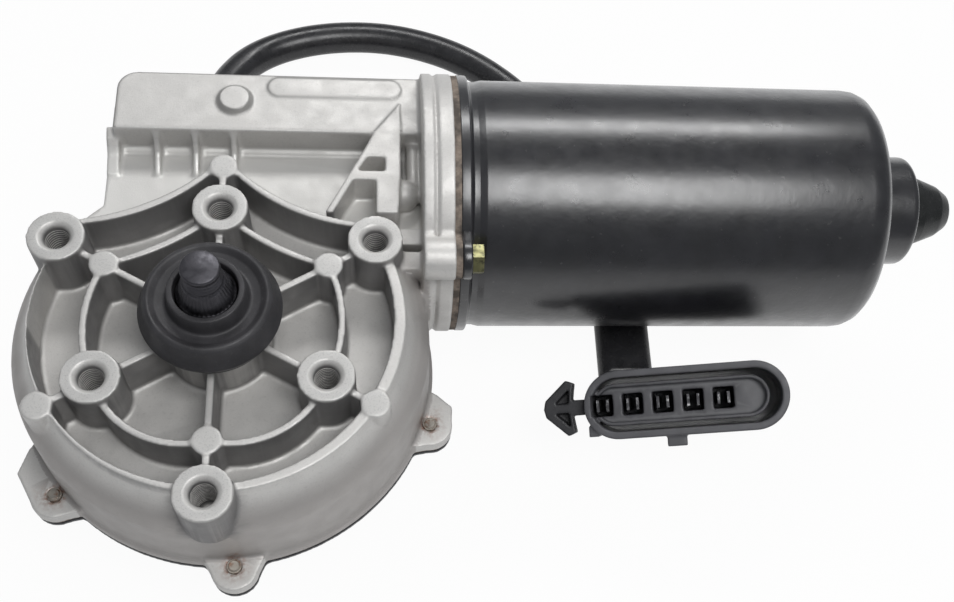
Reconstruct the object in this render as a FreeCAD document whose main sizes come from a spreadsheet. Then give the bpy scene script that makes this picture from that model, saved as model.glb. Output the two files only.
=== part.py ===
"""Wiper motor: a worm-gear motor with a ribbed die-cast gear housing and a drawn steel yoke.

Origin: the output shaft's axis on the plane of the mounting boss tops.  +Z leaves along the
shaft, +X runs along the armature towards the end of the yoke.  Millimetres and degrees.
"""
import FreeCAD
import Part
import math
import os
import Sketcher

V = FreeCAD.Vector
Z_UP = FreeCAD.Rotation()
Z_TO_X = FreeCAD.Rotation(V(0, 1, 0), 90)
Z_TO_Y = FreeCAD.Rotation(V(1, 0, 0), -90)
Z_DOWN = FreeCAD.Rotation(V(1, 0, 0), 180)

SIZES = [
    # mounting face
    ("outer_circle", 50.0), ("inner_circle", 35.0), ("boss_dia", 15.6), ("boss_hole_dia", 6.8),
    ("boss_hole_mouth", 9.4), ("boss_hole_depth", 17.0), ("pad_dia", 8.2), ("pad_drop", 1.6),
    ("rib_drop", 2.2),
    ("floor_depth", 16.5), ("floor_wall", 3.5), ("rib_wall", 2.0), ("star_wall", 2.2),
    ("star_end", 51.4), ("star_turn", 52.0), ("star_waist", 42.9), ("star_peak", 54.0),
    ("ring_waist", 28.2), ("ring_side", 34.2), ("ring_low", 37.2),
    ("hub_dia", 29.0), ("hub_rise", 1.0),
    # drum, its edge and the cover seat
    ("drum_x", 1.4), ("drum_y", 1.0), ("drum_top_r", 50.2), ("drum_r", 57.2), ("drum_edge_r", 58.8),
    ("shoulder_depth", 12.0), ("edge_depth", 36.6), ("seat_depth", 39.0), ("chamber_r", 51.0),
    # worm block
    ("axis_y", 53.5), ("axis_z", -25.5), ("block_left", -35.2), ("block_front", 36.0),
    ("block_corner", 6.0), ("block_top", -14.0), ("strip_top", -4.0), ("strip_front", 64.3),
    ("strip_rear", 85.2), ("strip_left", -32.6), ("worm_bore_dia", 15.6), ("worm_bore_end", -27.0),
    # webs, corner web, rod and ball boss on the block's plateau
    ("web_start", -21.4), ("web_step", 11.1), ("web_reach", 9.9), ("web_rise", 3.6), ("web_wall", 1.7),
    ("bead_r", 1.0), ("disc_x", 1.9), ("disc_r", 5.3), ("disc_top_r", 4.4), ("disc_rise", 1.7),
    ("land_left", 11.5), ("land_right", 51.0),
    ("gusset_rise", 0.5), ("gusset_right", 50.8), ("gusset_low", 36.0), ("gusset_bar", 47.5),
    ("gusset_bar_wall", 3.1), ("ball_x", 51.8), ("ball_y", 46.4), ("ball_r", 4.6), ("rod_x", 54.6),
    ("rod_r", 2.1),
    # cast flange, gasket and yoke
    ("flange_start", 56.9), ("flange_face", 65.8), ("flange_r", 39.6), ("yoke_gasket_wall", 1.8),
    ("yoke_r", 38.0), ("yoke_wall", 2.8), ("yoke_length", 130.0), ("yoke_corner", 8.0),
    ("rim_wall", 3.0), ("ear_r", 42.0), ("ear_width", 12.0), ("ear_angle", 35.5),
    ("yoke_screw_dia", 5.0), ("yoke_screw_bite", 7.2), ("recess_depth", 4.0), ("recess_r", 33.0),
    ("end_boss_r", 17.4), ("end_boss_length", 16.4), ("end_boss_bend", 2.4), ("end_neck_r", 12.4),
    ("end_neck_length", 0.6), ("end_cap_r", 11.8), ("end_cap_length", 14.8), ("end_cap_tip_r", 8.6),
    # armature
    ("shaft_dia", 10.0), ("journal_dia", 8.0), ("worm_module", 1.5), ("wheel_teeth", 64.0),
    ("worm_turns", 7.5), ("stack_r", 27.4), ("stack_length", 62.0), ("stack_start", 98.0),
    ("magnet_gap", 0.7), ("slots", 12.0), ("comm_r", 12.5), ("comm_length", 15.0),
    ("bearing_dia", 22.0), ("bearing_width", 7.0), ("bearing_start", 57.0),
    ("thrust_dia", 9.0), ("thrust_ball_dia", 5.0), ("rear_bush_wall", 3.5), ("brush_plate_wall", 3.0),
    ("brush_width", 5.0), ("brush_depth", 8.0),
    # gear wheel and output shaft
    ("wheel_width", 9.0), ("wheel_hub_r", 15.0), ("out_shaft_dia", 15.6), ("out_bush_wall", 2.0),
    ("out_shaft_rise", 26.4), ("out_cone_dia", 15.0), ("out_thread_dia", 10.3),
    ("seal_r", 18.9), ("seal_skirt_r", 16.2), ("seal_brim", 3.6), ("seal_crest_r", 14.4),
    ("seal_crest", 12.0), ("seal_neck_r", 9.9), ("seal_bore_r", 8.7), ("seal_rise", 15.4),
    # cover
    ("cover_gasket_wall", 0.8), ("cover_wall", 2.2), ("cover_depth", 74.0), ("cover_step_r", 53.0),
    ("cover_step_depth", 50.0), ("cover_dome_r", 41.5), ("lug_circle", 60.4), ("lug_r", 6.6),
    ("lug_tail_r", 5.2), ("lug_wall", 4.6), ("cover_screw_dia", 4.0), ("cover_screw_bite", 10.0),
    # cable and connector
    ("cable_dia", 9.5), ("cable_x", -16.0), ("cable_z", -58.0), ("plug_length", 62.0),
    ("plug_height", 21.0), ("plug_depth", 32.0), ("plug_wall", 2.2), ("blade_pitch", 9.3),
    ("blade_width", 3.6), ("blade_wall", 0.8), ("blade_gap", 3.0), ("blade_shift", 7.1),
    ("plug_floor", 8.0),
    ("plug_cap_depth", 6.0), ("plug_x", 135.9), ("plug_y", -12.1), ("plug_z", -30.0),
    ("sleeve_width", 18.6), ("sleeve_start", 14.0), ("spigot_stop", 0.8), ("running_gap", 0.05),
    ("seat_gap", 0.02),
]

doc = FreeCAD.newDocument("WiperMotor")
sheet = doc.addObject("Spreadsheet::Sheet", "Sizes")


class Size:
    """A size known both as a number and as an expression on the sheet."""

    def __init__(self, value, text):
        self.value = float(value)
        self.text = text

    def __add__(self, other):
        return Size(self.value + number(other), "(%s + %s)" % (self.text, words(other)))

    def __sub__(self, other):
        return Size(self.value - number(other), "(%s - %s)" % (self.text, words(other)))

    def __mul__(self, other):
        return Size(self.value * number(other), "(%s * %s)" % (self.text, words(other)))

    def __truediv__(self, other):
        return Size(self.value / number(other), "(%s / %s)" % (self.text, words(other)))

    def __neg__(self):
        return Size(-self.value, "(0 - %s)" % self.text)

    __radd__ = __add__
    __rmul__ = __mul__

    def __rsub__(self, other):
        return Size(number(other) - self.value, "(%s - %s)" % (words(other), self.text))


def number(size):
    """The plain number of a Size, or of a number."""
    return size.value if isinstance(size, Size) else float(size)


def words(size):
    """The expression of a Size, or of a number."""
    return size.text if isinstance(size, Size) else "%.6f" % size


class Sheet:
    """Every size on the sheet, by its alias."""


S = Sheet()
for row, (alias, value) in enumerate(SIZES, start=1):
    sheet.set("A%d" % row, alias)
    sheet.set("B%d" % row, "%g" % value)
    sheet.setAlias("B%d" % row, alias)
    setattr(S, alias, Size(value, "Sizes." + alias))
S.yoke_start = S.flange_face + S.yoke_gasket_wall
doc.recompute()


def bind(thing, prop, size):
    """Set a property by expression where the size is on the sheet."""
    if isinstance(size, Size):
        thing.setExpression(prop, size.text)
    else:
        setattr(thing, prop, size)


def place(node, x=0, y=0, z=0, turn=Z_UP):
    """Place a node: its turn, then its three coordinates from the sheet."""
    node.Placement = FreeCAD.Placement(V(number(x), number(y), number(z)), turn)
    for axis, size in zip("xyz", (x, y, z)):
        if isinstance(size, Size):
            node.setExpression(".Placement.Base." + axis, size.text)
    return node


def on_motor(node, x=0, turn=Z_TO_X):
    """Place a node whose own Z is the armature's axis."""
    return place(node, x, S.axis_y, S.axis_z, turn)


def polar(radius, degrees):
    """A point at a radius and a direction, as two sizes."""
    turn = math.radians(number(degrees))
    return radius * round(math.cos(turn), 9), radius * round(math.sin(turn), 9)


def new_body(label):
    """An empty body that carries a sub-part's name."""
    made = doc.addObject("PartDesign::Body", label)
    made.Label = label
    return made


class Sketch:
    """A sketch on one of its body's own planes, raised by an offset, with bound points."""

    def __init__(self, owner, plane="XY", offset=0, across=0, up=0):
        self.made = owner.newObject("Sketcher::SketchObject", owner.Label + "_sketch")
        planes = [f for f in owner.Origin.OriginFeatures if f.Role == plane + "_Plane"]
        self.made.AttachmentSupport = [(planes[0], "")]
        self.made.MapMode = "FlatFace"
        shift = V(number(across), number(up), number(offset))
        self.made.AttachmentOffset = FreeCAD.Placement(shift, Z_UP)
        for axis, size in zip("xyz", (across, up, offset)):
            if isinstance(size, Size):
                self.made.setExpression(".AttachmentOffset.Base." + axis, size.text)
        self.names = 0

    def pin(self, kind, geometry, corner, size):
        """Hold one coordinate of a point, by expression where it is a sheet size."""
        if number(size) == 0:
            axis = -2 if kind == "DistanceX" else -1
            self.made.addConstraint(Sketcher.Constraint("PointOnObject", geometry, corner, axis))
            return
        rule = Sketcher.Constraint(kind, -1, 1, geometry, corner, number(size))
        self.bound(self.made.addConstraint(rule), size)

    def bound(self, index, size):
        """Name a constraint and tie it to the sheet."""
        if isinstance(size, Size):
            self.names += 1
            self.made.renameConstraint(index, "size%d" % self.names)
            self.made.setExpression(".Constraints.size%d" % self.names, size.text)

    def circle(self, x, y, radius):
        """A circle with its centre and radius held."""
        centre = V(number(x), number(y), 0)
        index = self.made.addGeometry(Part.Circle(centre, V(0, 0, 1), number(radius)), False)
        self.pin("DistanceX", index, 3, x)
        self.pin("DistanceY", index, 3, y)
        self.bound(self.made.addConstraint(Sketcher.Constraint("Radius", index, number(radius))), radius)
        return self

    def loop(self, *corners):
        """A closed outline; a corner with a third item starts an arc through that point."""
        spots = [V(number(c[0]), number(c[1]), 0) for c in corners]
        first = self.made.GeometryCount
        for index, corner in enumerate(corners):
            start, end = spots[index], spots[(index + 1) % len(spots)]
            if len(corner) > 2:
                through = V(number(corner[2][0]), number(corner[2][1]), 0)
                edge = Part.ArcOfCircle(start, through, end)
                self.made.addGeometry(edge, False)
            else:
                self.made.addGeometry(Part.LineSegment(start, end), False)
        for index, corner in enumerate(corners):
            here = first + index
            begin, finish = self.ends(here, spots[index])
            following = first + (index + 1) % len(corners)
            after = self.ends(following, spots[(index + 1) % len(spots)])[0]
            rule = Sketcher.Constraint("Coincident", here, finish, following, after)
            self.made.addConstraint(rule)
            self.pin("DistanceX", here, begin, corner[0])
            self.pin("DistanceY", here, begin, corner[1])
        return self

    def ends(self, index, start):
        """Which end of an edge lies at its start: arcs always run anticlockwise."""
        at_start = (self.made.getPoint(index, 1) - start).Length
        at_end = (self.made.getPoint(index, 2) - start).Length
        return (1, 2) if at_start < at_end else (2, 1)


def feature(owner, kind, sketch, length=None, **settings):
    """Add a sketch-based feature and check that it changed the solid the right way."""
    before = owner.Shape.Volume if owner.Tip else 0.0
    made = owner.newObject("PartDesign::" + kind, owner.Label + "_" + kind.lower())
    made.Profile = sketch.made
    if kind in ("Revolution", "Groove"):
        made.ReferenceAxis = (sketch.made, ["V_Axis"])
        made.Angle = 360
    for key, value in settings.items():
        bind(made, key, value)
    if length is not None:
        bind(made, "Length", length)
    sketch.made.Visibility = False
    doc.recompute()
    grew = owner.Shape.Volume - before
    if (grew < 0.01) if kind in ("Pad", "Revolution") else (grew > -0.01):
        raise RuntimeError("%s of %s changed the volume by %.3f" % (kind, owner.Label, grew))
    return made


def pad(owner, sketch, length, **settings):
    """Raise a sketch."""
    return feature(owner, "Pad", sketch, length, **settings)


def pocket(owner, sketch, length, **settings):
    """Sink a sketch along the plane's own normal unless told otherwise."""
    settings.setdefault("Reversed", True)
    return feature(owner, "Pocket", sketch, length, **settings)


def turned(label, *corners):
    """A body turned about its own Z from a profile of radius and height."""
    made = new_body(label)
    feature(made, "Revolution", Sketch(made, "XZ").loop(*corners))
    return made


def tube(label, outer, inner, length):
    """A plain ring or bush on its own Z."""
    made = new_body(label)
    sketch = Sketch(made).circle(0, 0, outer)
    if number(inner) > 0:
        sketch.circle(0, 0, inner)
    pad(made, sketch, length)
    return made


def round_edges(owner, radius, keep, name="Fillet"):
    """Round or bevel those edges of the body that the test keeps."""
    base = owner.Tip
    names = ["Edge%d" % (i + 1) for i, edge in enumerate(base.Shape.Edges) if keep(edge)]
    if not names:
        raise RuntimeError("no edges to round on " + owner.Label)
    made = owner.newObject("PartDesign::" + name, owner.Label + "_" + name.lower())
    made.Base = (base, names)
    bind(made, "Radius" if name == "Fillet" else "Size", radius)
    doc.recompute()
    if "Invalid" in made.State or "Error" in made.State or not owner.Shape.isValid():
        raise RuntimeError("%s of %s failed" % (name, owner.Label))
    return made


def at_height(edge, z, slack=0.01):
    """True for an edge that lies whole at one height."""
    box = edge.BoundBox
    return abs(box.ZMin - number(z)) < slack and abs(box.ZMax - number(z)) < slack


def corner_box(sketch, x0, y0, x1, y1, radius):
    """A rectangle whose far left corner is round."""
    bend = radius * 0.2929
    return sketch.loop((x0, y0), (x1, y0), (x1, y1), (x0 + radius, y1, (x0 + bend, y1 - bend)),
                       (x0, y1 - radius))


STATIONS_OUT = (150, 30, 270)
STATIONS_IN = (90, 210, 330)


def star_outline(sketch, shrink):
    """The ribbed face's outer wall: two waisted runs above, the drum's round below."""
    left = polar(S.star_end - shrink, S.star_turn + 90)
    right = polar(S.star_end - shrink, 90 - S.star_turn)
    top = polar(S.star_peak - shrink, 90)
    waist_left = polar(S.star_waist - shrink, 120)
    waist_right = polar(S.star_waist - shrink, 60)
    low = (S.drum_x, S.drum_y - S.drum_top_r + shrink)
    return sketch.loop(left + (low,), right + (waist_right,), top + (waist_left,))


def ring_outline(sketch, grow):
    """The inner ring rib, waisted between the stations as the casting is."""
    corners = []
    waists = (S.ring_waist, S.ring_waist, S.ring_side, S.ring_low, S.ring_low, S.ring_side)
    for index, waist in enumerate(waists):
        start = polar(S.inner_circle + grow, 30 + 60 * index)
        corners.append(start + (polar(waist + grow, 60 + 60 * index),))
    return sketch.loop(*corners)


def spoke(sketch, degrees, inner, outer, wall):
    """A straight rib along one direction."""
    (ax, ay), (bx, by) = polar(inner, degrees), polar(outer, degrees)
    (nx, ny) = polar(wall / 2, degrees + 90)
    return sketch.loop((ax - nx, ay - ny), (bx - nx, by - ny), (bx + nx, by + ny), (ax + nx, ay + ny))


def box_loop(sketch, x0, y0, x1, y1):
    """A rectangle between two corners."""
    return sketch.loop((x0, y0), (x1, y0), (x1, y1), (x0, y1))


# each lug's direction and how far its tail runs on around the edge, in degrees
LUGS = ((-140.2, -10.5), (-87.0, 0), (-17.8, 6.5))


def screw_spots():
    """The cover screws: one in each lug and two in the block's rear corners."""
    spots = []
    for degrees, _tail in LUGS:
        x, y = polar(S.lug_circle, degrees)
        spots.append((S.drum_x + x, S.drum_y + y))
    for x in (S.block_left + 5.0, S.flange_start - 9.0):
        spots.append((x, S.strip_rear - 6.0))
    return spots


def add_lugs(owner, z, height, shrink):
    """Screw lugs with wide roots around the drum's free side; the outer two run on in a tail."""
    roots = Sketch(owner, offset=z, across=S.drum_x, up=S.drum_y)
    tips = Sketch(owner, offset=z, across=S.drum_x, up=S.drum_y)
    tails = Sketch(owner, offset=z, across=S.drum_x, up=S.drum_y)
    for degrees, tail in LUGS:
        ax, ay = polar(S.drum_edge_r - 5.0, degrees)
        bx, by = polar(S.lug_circle + 2.0, degrees)
        wx, wy = polar(S.lug_r * 1.6 - shrink, degrees + 90)
        tx, ty = polar(S.lug_r * 0.93 - shrink, degrees + 90)
        roots.loop((ax - wx, ay - wy), (bx - tx, by - ty), (bx + tx, by + ty), (ax + wx, ay + wy))
        x, y = polar(S.lug_circle, degrees)
        tips.circle(x, y, S.lug_r - shrink)
        if tail:
            end = degrees + tail
            inner, outer = S.drum_edge_r - 5.0, S.lug_circle - shrink
            tails.loop(polar(inner, degrees), polar(outer + S.lug_r, degrees),
                       polar(outer + S.lug_tail_r, end), polar(outer, end + tail * 0.45),
                       polar(inner, end + tail * 0.9))
    pad(owner, roots, height)
    pad(owner, tips, height)
    pad(owner, tails, height)


def seat_plan(owner, z, height, shrink):
    """The plan that the housing's edge, the gasket and the cover's plate share."""
    pad(owner, Sketch(owner, offset=z).circle(S.drum_x, S.drum_y, S.drum_edge_r - shrink), height)
    square = Sketch(owner, offset=z)
    box_loop(square, S.block_left + shrink, S.block_front, S.flange_start - 1.0, S.strip_rear - shrink)
    pad(owner, square, height)
    add_lugs(owner, z, height, shrink)
    clear = Sketch(owner, offset=z - 1.0)
    box_loop(clear, S.flange_start - 0.4, 12.6, S.flange_start + 12.0, S.strip_rear)
    pocket(owner, clear, height + 2.0)


def drill(owner, z, depth, radius, spots):
    """Round holes straight up from a height."""
    holes = Sketch(owner, offset=z)
    for x, y in spots:
        holes.circle(x, y, radius)
    pocket(owner, holes, depth)


EAR_SIDES = (180, 0)


def add_ears(owner, offset, length, plane, centre, turn, radius):
    """A rounded ear around each yoke screw, on a plane across the armature."""
    roots = Sketch(owner, plane, offset=offset, across=centre[0], up=centre[1])
    tips = Sketch(owner, plane, offset=offset, across=centre[0], up=centre[1])
    for side in EAR_SIDES:
        angle = side + turn - S.ear_angle
        x, y = polar(S.ear_r, angle)
        ax, ay = polar(S.ear_r - 10.0, angle)
        wx, wy = polar(radius * 1.5, angle + 90)
        tx, ty = polar(radius * 0.95, angle + 90)
        roots.loop((ax - wx, ay - wy), (x - tx, y - ty), (x + tx, y + ty), (ax + wx, ay + wy))
        tips.circle(x, y, radius)
    pad(owner, roots, length)
    pad(owner, tips, length)


def gear_housing():
    """The die casting: drum, ribbed mounting face, worm block and yoke flange."""
    made = new_body("gear_housing")
    drum_and_block(made)
    yoke_flange(made)
    ribbed_face(made)
    block_details(made)
    housing_bores(made)
    return made


def drum_and_block(made):
    """The turned drum, cut back above to the plateau, and the block that holds the worm."""
    top, edge, seat, shoulder = -S.rib_drop, -S.edge_depth, -S.seat_depth, -S.shoulder_depth
    profile = Sketch(made, "XZ", offset=-S.drum_y, across=S.drum_x)
    profile.loop((0, seat), (S.drum_edge_r, seat), (S.drum_edge_r, edge + 0.6),
                 (S.drum_r + 0.6, edge + 1.2),
                 (S.drum_r, shoulder - 4.0, (S.drum_r - 1.2, shoulder - 1.4)),
                 (S.drum_r - 3.4, shoulder + 1.4, (S.drum_top_r + 1.8, shoulder + 4.2)),
                 (S.drum_top_r + 0.6, top - 3.0), (S.drum_top_r, top), (0, top))
    feature(made, "Revolution", profile)
    add_lugs(made, seat, S.lug_wall, 0.0)
    reach = S.drum_edge_r * 1.6
    crown = Sketch(made, offset=top + 0.5)
    crown.loop(polar(S.star_end, S.star_turn + 90) + (polar(S.star_waist, 120),),
               polar(S.star_peak, 90) + (polar(S.star_waist, 60),),
               polar(S.star_end, 90 - S.star_turn), polar(S.outer_circle, 30), polar(reach, 20),
               polar(reach, 60), polar(reach, 120), polar(reach, 160), polar(S.outer_circle, 150))
    pocket(made, crown, top + 0.5 - S.block_top, Reversed=False)
    right, rear = S.flange_start + 1.0, S.strip_rear
    block = Sketch(made, offset=seat)
    corner_box(block, S.block_left, S.block_front, right, rear, S.block_corner)
    pad(made, block, S.block_top - seat)
    strip = Sketch(made, offset=S.block_top - 2.0)
    corner_box(strip, S.strip_left, S.strip_front, right, rear, S.block_corner)
    pad(made, strip, S.strip_top - S.block_top + 2.0)
    round_edges(made, 0.8, lambda e: at_height(e, S.strip_top) and e.BoundBox.XMin < 50)


def block_details(made):
    """Bead, webs, disc, label land, corner web, rod, ball boss and ledges on the block's upper side."""
    plateau, strip, front = S.block_top, S.strip_top, S.strip_front
    bead = Sketch(made, "YZ", offset=S.block_left + 1.0)
    pad(made, bead.circle(front - 0.6, plateau, S.bead_r), S.flange_start - S.block_left - 6.0)
    for step in range(3):
        web = Sketch(made, "YZ", offset=S.web_start + S.web_step * step)
        web.loop((front + 0.5, plateau - 1.0), (front + 0.5, strip - 0.8), (front - 0.3, strip - 1.2),
                 (front - S.web_reach * 0.4, plateau + S.web_rise), (front - S.web_reach, plateau + 0.8),
                 (front - S.web_reach, plateau - 1.0))
        pad(made, web, S.web_wall)
    end_web = Sketch(made, "YZ", offset=S.block_left)
    end_web.loop((front + 3.0, plateau - 1.0), (front + 3.0, strip - 3.4), (front - 0.3, strip - 4.6),
                 (front - S.web_reach * 0.4, plateau + S.web_rise * 0.6),
                 (front - S.web_reach, plateau + 0.6), (front - S.web_reach, plateau - 1.0))
    pad(made, end_web, S.strip_left - S.block_left + 1.0)
    disc = Sketch(made, "XZ", offset=-(front + 10.8), across=S.disc_x)
    disc.loop((0, strip - 1.0), (S.disc_r, strip - 1.0), (S.disc_r, strip),
              (S.disc_top_r, strip + S.disc_rise), (0, strip + S.disc_rise))
    feature(made, "Revolution", disc)
    land = Sketch(made, offset=strip - 1.0)
    low, high, bend = front + 12.7, S.strip_rear - 1.6, 2.5
    land.loop((S.land_left + bend, low), (S.land_right - bend, low, (S.land_right, (low + high) / 2)),
              (S.land_right - bend, high), (S.land_left + bend, high, (S.land_left, (low + high) / 2)))
    pad(made, land, 1.5)
    corner_web(made)
    rod = Sketch(made, "XZ", offset=-(front + 0.5), across=S.rod_x, up=plateau + 4.0)
    pad(made, rod.circle(0, 0, S.rod_r), front - S.ball_y - 2.0)
    ball = Sketch(made, "XZ", offset=-S.ball_y, across=S.ball_x)
    middle = plateau + 3.6
    ball.loop((0, middle - S.ball_r, (S.ball_r, middle)), (0, middle + S.ball_r))
    feature(made, "Revolution", ball)
    for y0, y1, rise in ((28.8, 34.2, 5.0), (20.4, 26.6, 5.0)):
        ledge = Sketch(made, offset=plateau - 4.0)
        box_loop(ledge, 45.0, y0, S.flange_start + 1.0, y1)
        pad(made, ledge, rise + 4.0)


def corner_web(made):
    """The A-shaped web in the plateau's corner: two legs, a bar and a plate that runs onto the strip."""
    low, bar, top = S.gusset_low, S.gusset_bar, S.gusset_bar + S.gusset_bar_wall
    right = S.gusset_right
    web = Sketch(made, offset=S.block_top - 1.0)
    web.loop((right - 21.9, low), (right - 19.5, low), (right - 13.9, bar), (right - 7.2, bar),
             (right - 7.2, low), (right - 0.8, low), (right, top), (right, top + 17.3),
             (right - 0.2, top + 24.3), (right - 8.1, top + 13.4), (right - 12.0, top + 5.0))
    web.loop((right - 12.7, top), (right - 9.7, top + 5.0), (right - 4.6, top + 5.0), (right - 4.6, top))
    pad(made, web, S.strip_top - S.block_top + 1.0 + S.gusset_rise)


def yoke_flange(made):
    """The round flange for the yoke, grooved once, with an ear for each yoke screw."""
    centre = (S.axis_y, S.axis_z)
    wide = S.flange_face - S.flange_start
    disc = Sketch(made, "YZ", offset=S.flange_start).circle(centre[0], centre[1], S.flange_r)
    pad(made, disc, wide)
    add_ears(made, S.flange_start, wide, "YZ", centre, 0, S.ear_width / 2)
    groove = Sketch(made, "YZ", offset=S.flange_start + 3.2)
    groove.circle(centre[0], centre[1], S.flange_r + 1.0)
    groove.circle(centre[0], centre[1], S.flange_r - 0.9)
    pocket(made, groove, 1.2)


def ribbed_face(made):
    """Pockets, spokes, ring rib, hub, bosses and ejector pads of the mounting face."""
    top, floor = -S.rib_drop, -S.floor_depth
    inside = star_outline(Sketch(made, offset=top + 0.5), S.star_wall)
    pocket(made, inside, top + 0.5 - floor, Reversed=False)
    ring = Sketch(made, offset=floor - 1.0)
    ring_outline(ring, S.rib_wall / 2)
    ring_outline(ring, -S.rib_wall / 2)
    pad(made, ring, top - floor + 1.0)
    spokes = Sketch(made, offset=floor - 1.0)
    for degrees in STATIONS_OUT + STATIONS_IN:
        spoke(spokes, degrees, S.hub_dia / 2 - 2.0, S.outer_circle - 1.0, S.rib_wall)
    pad(made, spokes, top - floor + 1.0)
    pad(made, Sketch(made, offset=floor - 1.0).circle(0, 0, S.hub_dia / 2), S.hub_rise - floor + 1.0)
    bosses = Sketch(made, offset=floor - 2.0)
    for circle, stations in ((S.outer_circle, STATIONS_OUT), (S.inner_circle, STATIONS_IN)):
        for degrees in stations:
            x, y = polar(circle, degrees)
            bosses.circle(x, y, S.boss_dia / 2)
    pad(made, bosses, 2.0 - floor)
    studs = Sketch(made, offset=floor - 1.0)
    for circle, stations in ((S.inner_circle, STATIONS_OUT), (S.outer_circle, STATIONS_IN)):
        for degrees in stations:
            x, y = polar(circle, degrees)
            studs.circle(x, y, S.pad_dia / 2)
    pad(made, studs, 1.0 - floor - S.pad_drop)


def boss_spots():
    """The centres of the six tapped bosses."""
    return ([polar(S.outer_circle, a) for a in STATIONS_OUT]
            + [polar(S.inner_circle, a) for a in STATIONS_IN])


def housing_bores(made):
    """The boss threads, gear chamber, shaft bore, worm tunnel and screw holes."""
    holes = Sketch(made, offset=1.0)
    for x, y in boss_spots():
        holes.circle(x, y, S.boss_hole_dia / 2)
    pocket(made, holes, S.boss_hole_depth + 1.0, Reversed=False)
    hole_r = number(S.boss_hole_dia) / 2
    round_edges(made, (S.boss_hole_mouth - S.boss_hole_dia) / 2, lambda e: at_height(e, 0)
                and abs(e.BoundBox.XLength / 2 - hole_r) < 0.01, "Chamfer")
    ceiling = -(S.floor_depth + S.floor_wall)
    under = -S.seat_depth - 1.0
    pocket(made, Sketch(made, offset=under).circle(0, 0, S.chamber_r), ceiling - under)
    pocket(made, Sketch(made, offset=under).circle(0, 0, S.out_shaft_dia / 2 + S.out_bush_wall),
           S.hub_rise - under + 1.0)
    centre = (S.axis_y, S.axis_z)
    bore = Sketch(made, "YZ", offset=S.worm_bore_end).circle(centre[0], centre[1], S.worm_bore_dia / 2)
    pocket(made, bore, S.flange_face - S.worm_bore_end)
    screw = Sketch(made, "YZ", offset=S.block_left - 1.0).circle(centre[0], centre[1], S.thrust_dia / 2)
    pocket(made, screw, S.worm_bore_end - S.block_left + 2.0)
    seat = Sketch(made, "YZ", offset=S.bearing_start).circle(centre[0], centre[1], S.bearing_dia / 2)
    pocket(made, seat, S.flange_face - S.bearing_start + 1.0)
    recess = Sketch(made, "YZ", offset=S.flange_face - S.recess_depth)
    pocket(made, recess.circle(centre[0], centre[1], S.recess_r), S.recess_depth + 1.0)
    holes = Sketch(made, "YZ", offset=S.flange_face - S.yoke_screw_bite)
    for side in EAR_SIDES:
        x, y = polar(S.ear_r, side - S.ear_angle)
        holes.circle(centre[0] + x, centre[1] + y, S.yoke_screw_dia / 2)
    pocket(made, holes, S.yoke_screw_bite + 1.0)
    spots = screw_spots()
    drill(made, under, S.lug_wall + 2.0, S.cover_screw_dia / 2, spots[:len(LUGS)])
    drill(made, under, S.cover_screw_bite + 1.0, S.cover_screw_dia / 2, spots[len(LUGS):])


def cover_gasket():
    """The flat gasket between the housing and its cover."""
    made = new_body("cover_gasket")
    low = -S.seat_depth - S.cover_gasket_wall
    seat_plan(made, low, S.cover_gasket_wall, 0.4)
    pocket(made, Sketch(made, offset=low - 1.0).circle(0, 0, S.chamber_r + 0.6), 3.0)
    drill(made, low - 1.0, 3.0, S.cover_screw_dia / 2 + 0.2, screw_spots())
    return made


def gear_cover():
    """The pressed cover: a plate on the gasket, a stepped dome and the cable's box behind."""
    made = new_body("gear_cover")
    top = -S.seat_depth - S.cover_gasket_wall
    plate = top - S.cover_wall
    bottom = -S.cover_depth
    seat_plan(made, plate, S.cover_wall, 0.0)
    step = -S.cover_step_depth
    for radius, low in ((S.cover_step_r, step), (S.cover_dome_r, bottom)):
        pad(made, Sketch(made, offset=low).circle(S.drum_x, S.drum_y, radius), top - low)
    box = Sketch(made, offset=bottom + 7.0)
    rear = S.strip_rear - 6.0 - S.cover_wall
    box_loop(box, S.cable_x - 9.5, 10.0, S.cable_x + 40.0, rear)
    pad(made, box, top - bottom - 7.0)
    round_edges(made, 3.0, lambda e: at_height(e, bottom) or at_height(e, step) and e.Length > 200)
    wall = S.cover_wall
    for radius, low in ((S.cover_step_r, step), (S.cover_dome_r, bottom)):
        hollow = Sketch(made, offset=low + wall).circle(S.drum_x, S.drum_y, radius - wall)
        pocket(made, hollow, top - low - wall + 1.0)
    inner = Sketch(made, offset=bottom + 7.0 + wall)
    box_loop(inner, S.cable_x - 9.5 + wall, 20.0, S.cable_x + 40.0 - wall, rear - wall)
    pocket(made, inner, top - bottom - 7.0 - wall + 1.0)
    outlet = Sketch(made, "XZ", offset=-(rear + 1.0), across=S.cable_x, up=S.cable_z)
    pocket(made, outlet.circle(0, 0, S.cable_dia / 2 + 1.6), S.cover_wall + 2.0)
    drill(made, plate - 1.0, S.cover_wall + 2.0, S.cover_screw_dia / 2 + 0.2, screw_spots())
    return made


def cover_screws():
    """Five alike: pan heads under the cover, shanks up through the lugs."""
    made = new_body("cover_screws")
    plate = -S.seat_depth - S.cover_gasket_wall - S.cover_wall
    heads = Sketch(made, offset=plate - 2.6)
    for x, y in screw_spots():
        heads.circle(x, y, S.cover_screw_dia * 0.95)
    pad(made, heads, 2.6)
    shanks = Sketch(made, offset=plate)
    for x, y in screw_spots():
        shanks.circle(x, y, S.cover_screw_dia / 2 - S.seat_gap)
    pad(made, shanks, S.cover_gasket_wall + S.cover_wall + S.lug_wall + 0.6)
    return made


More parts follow.
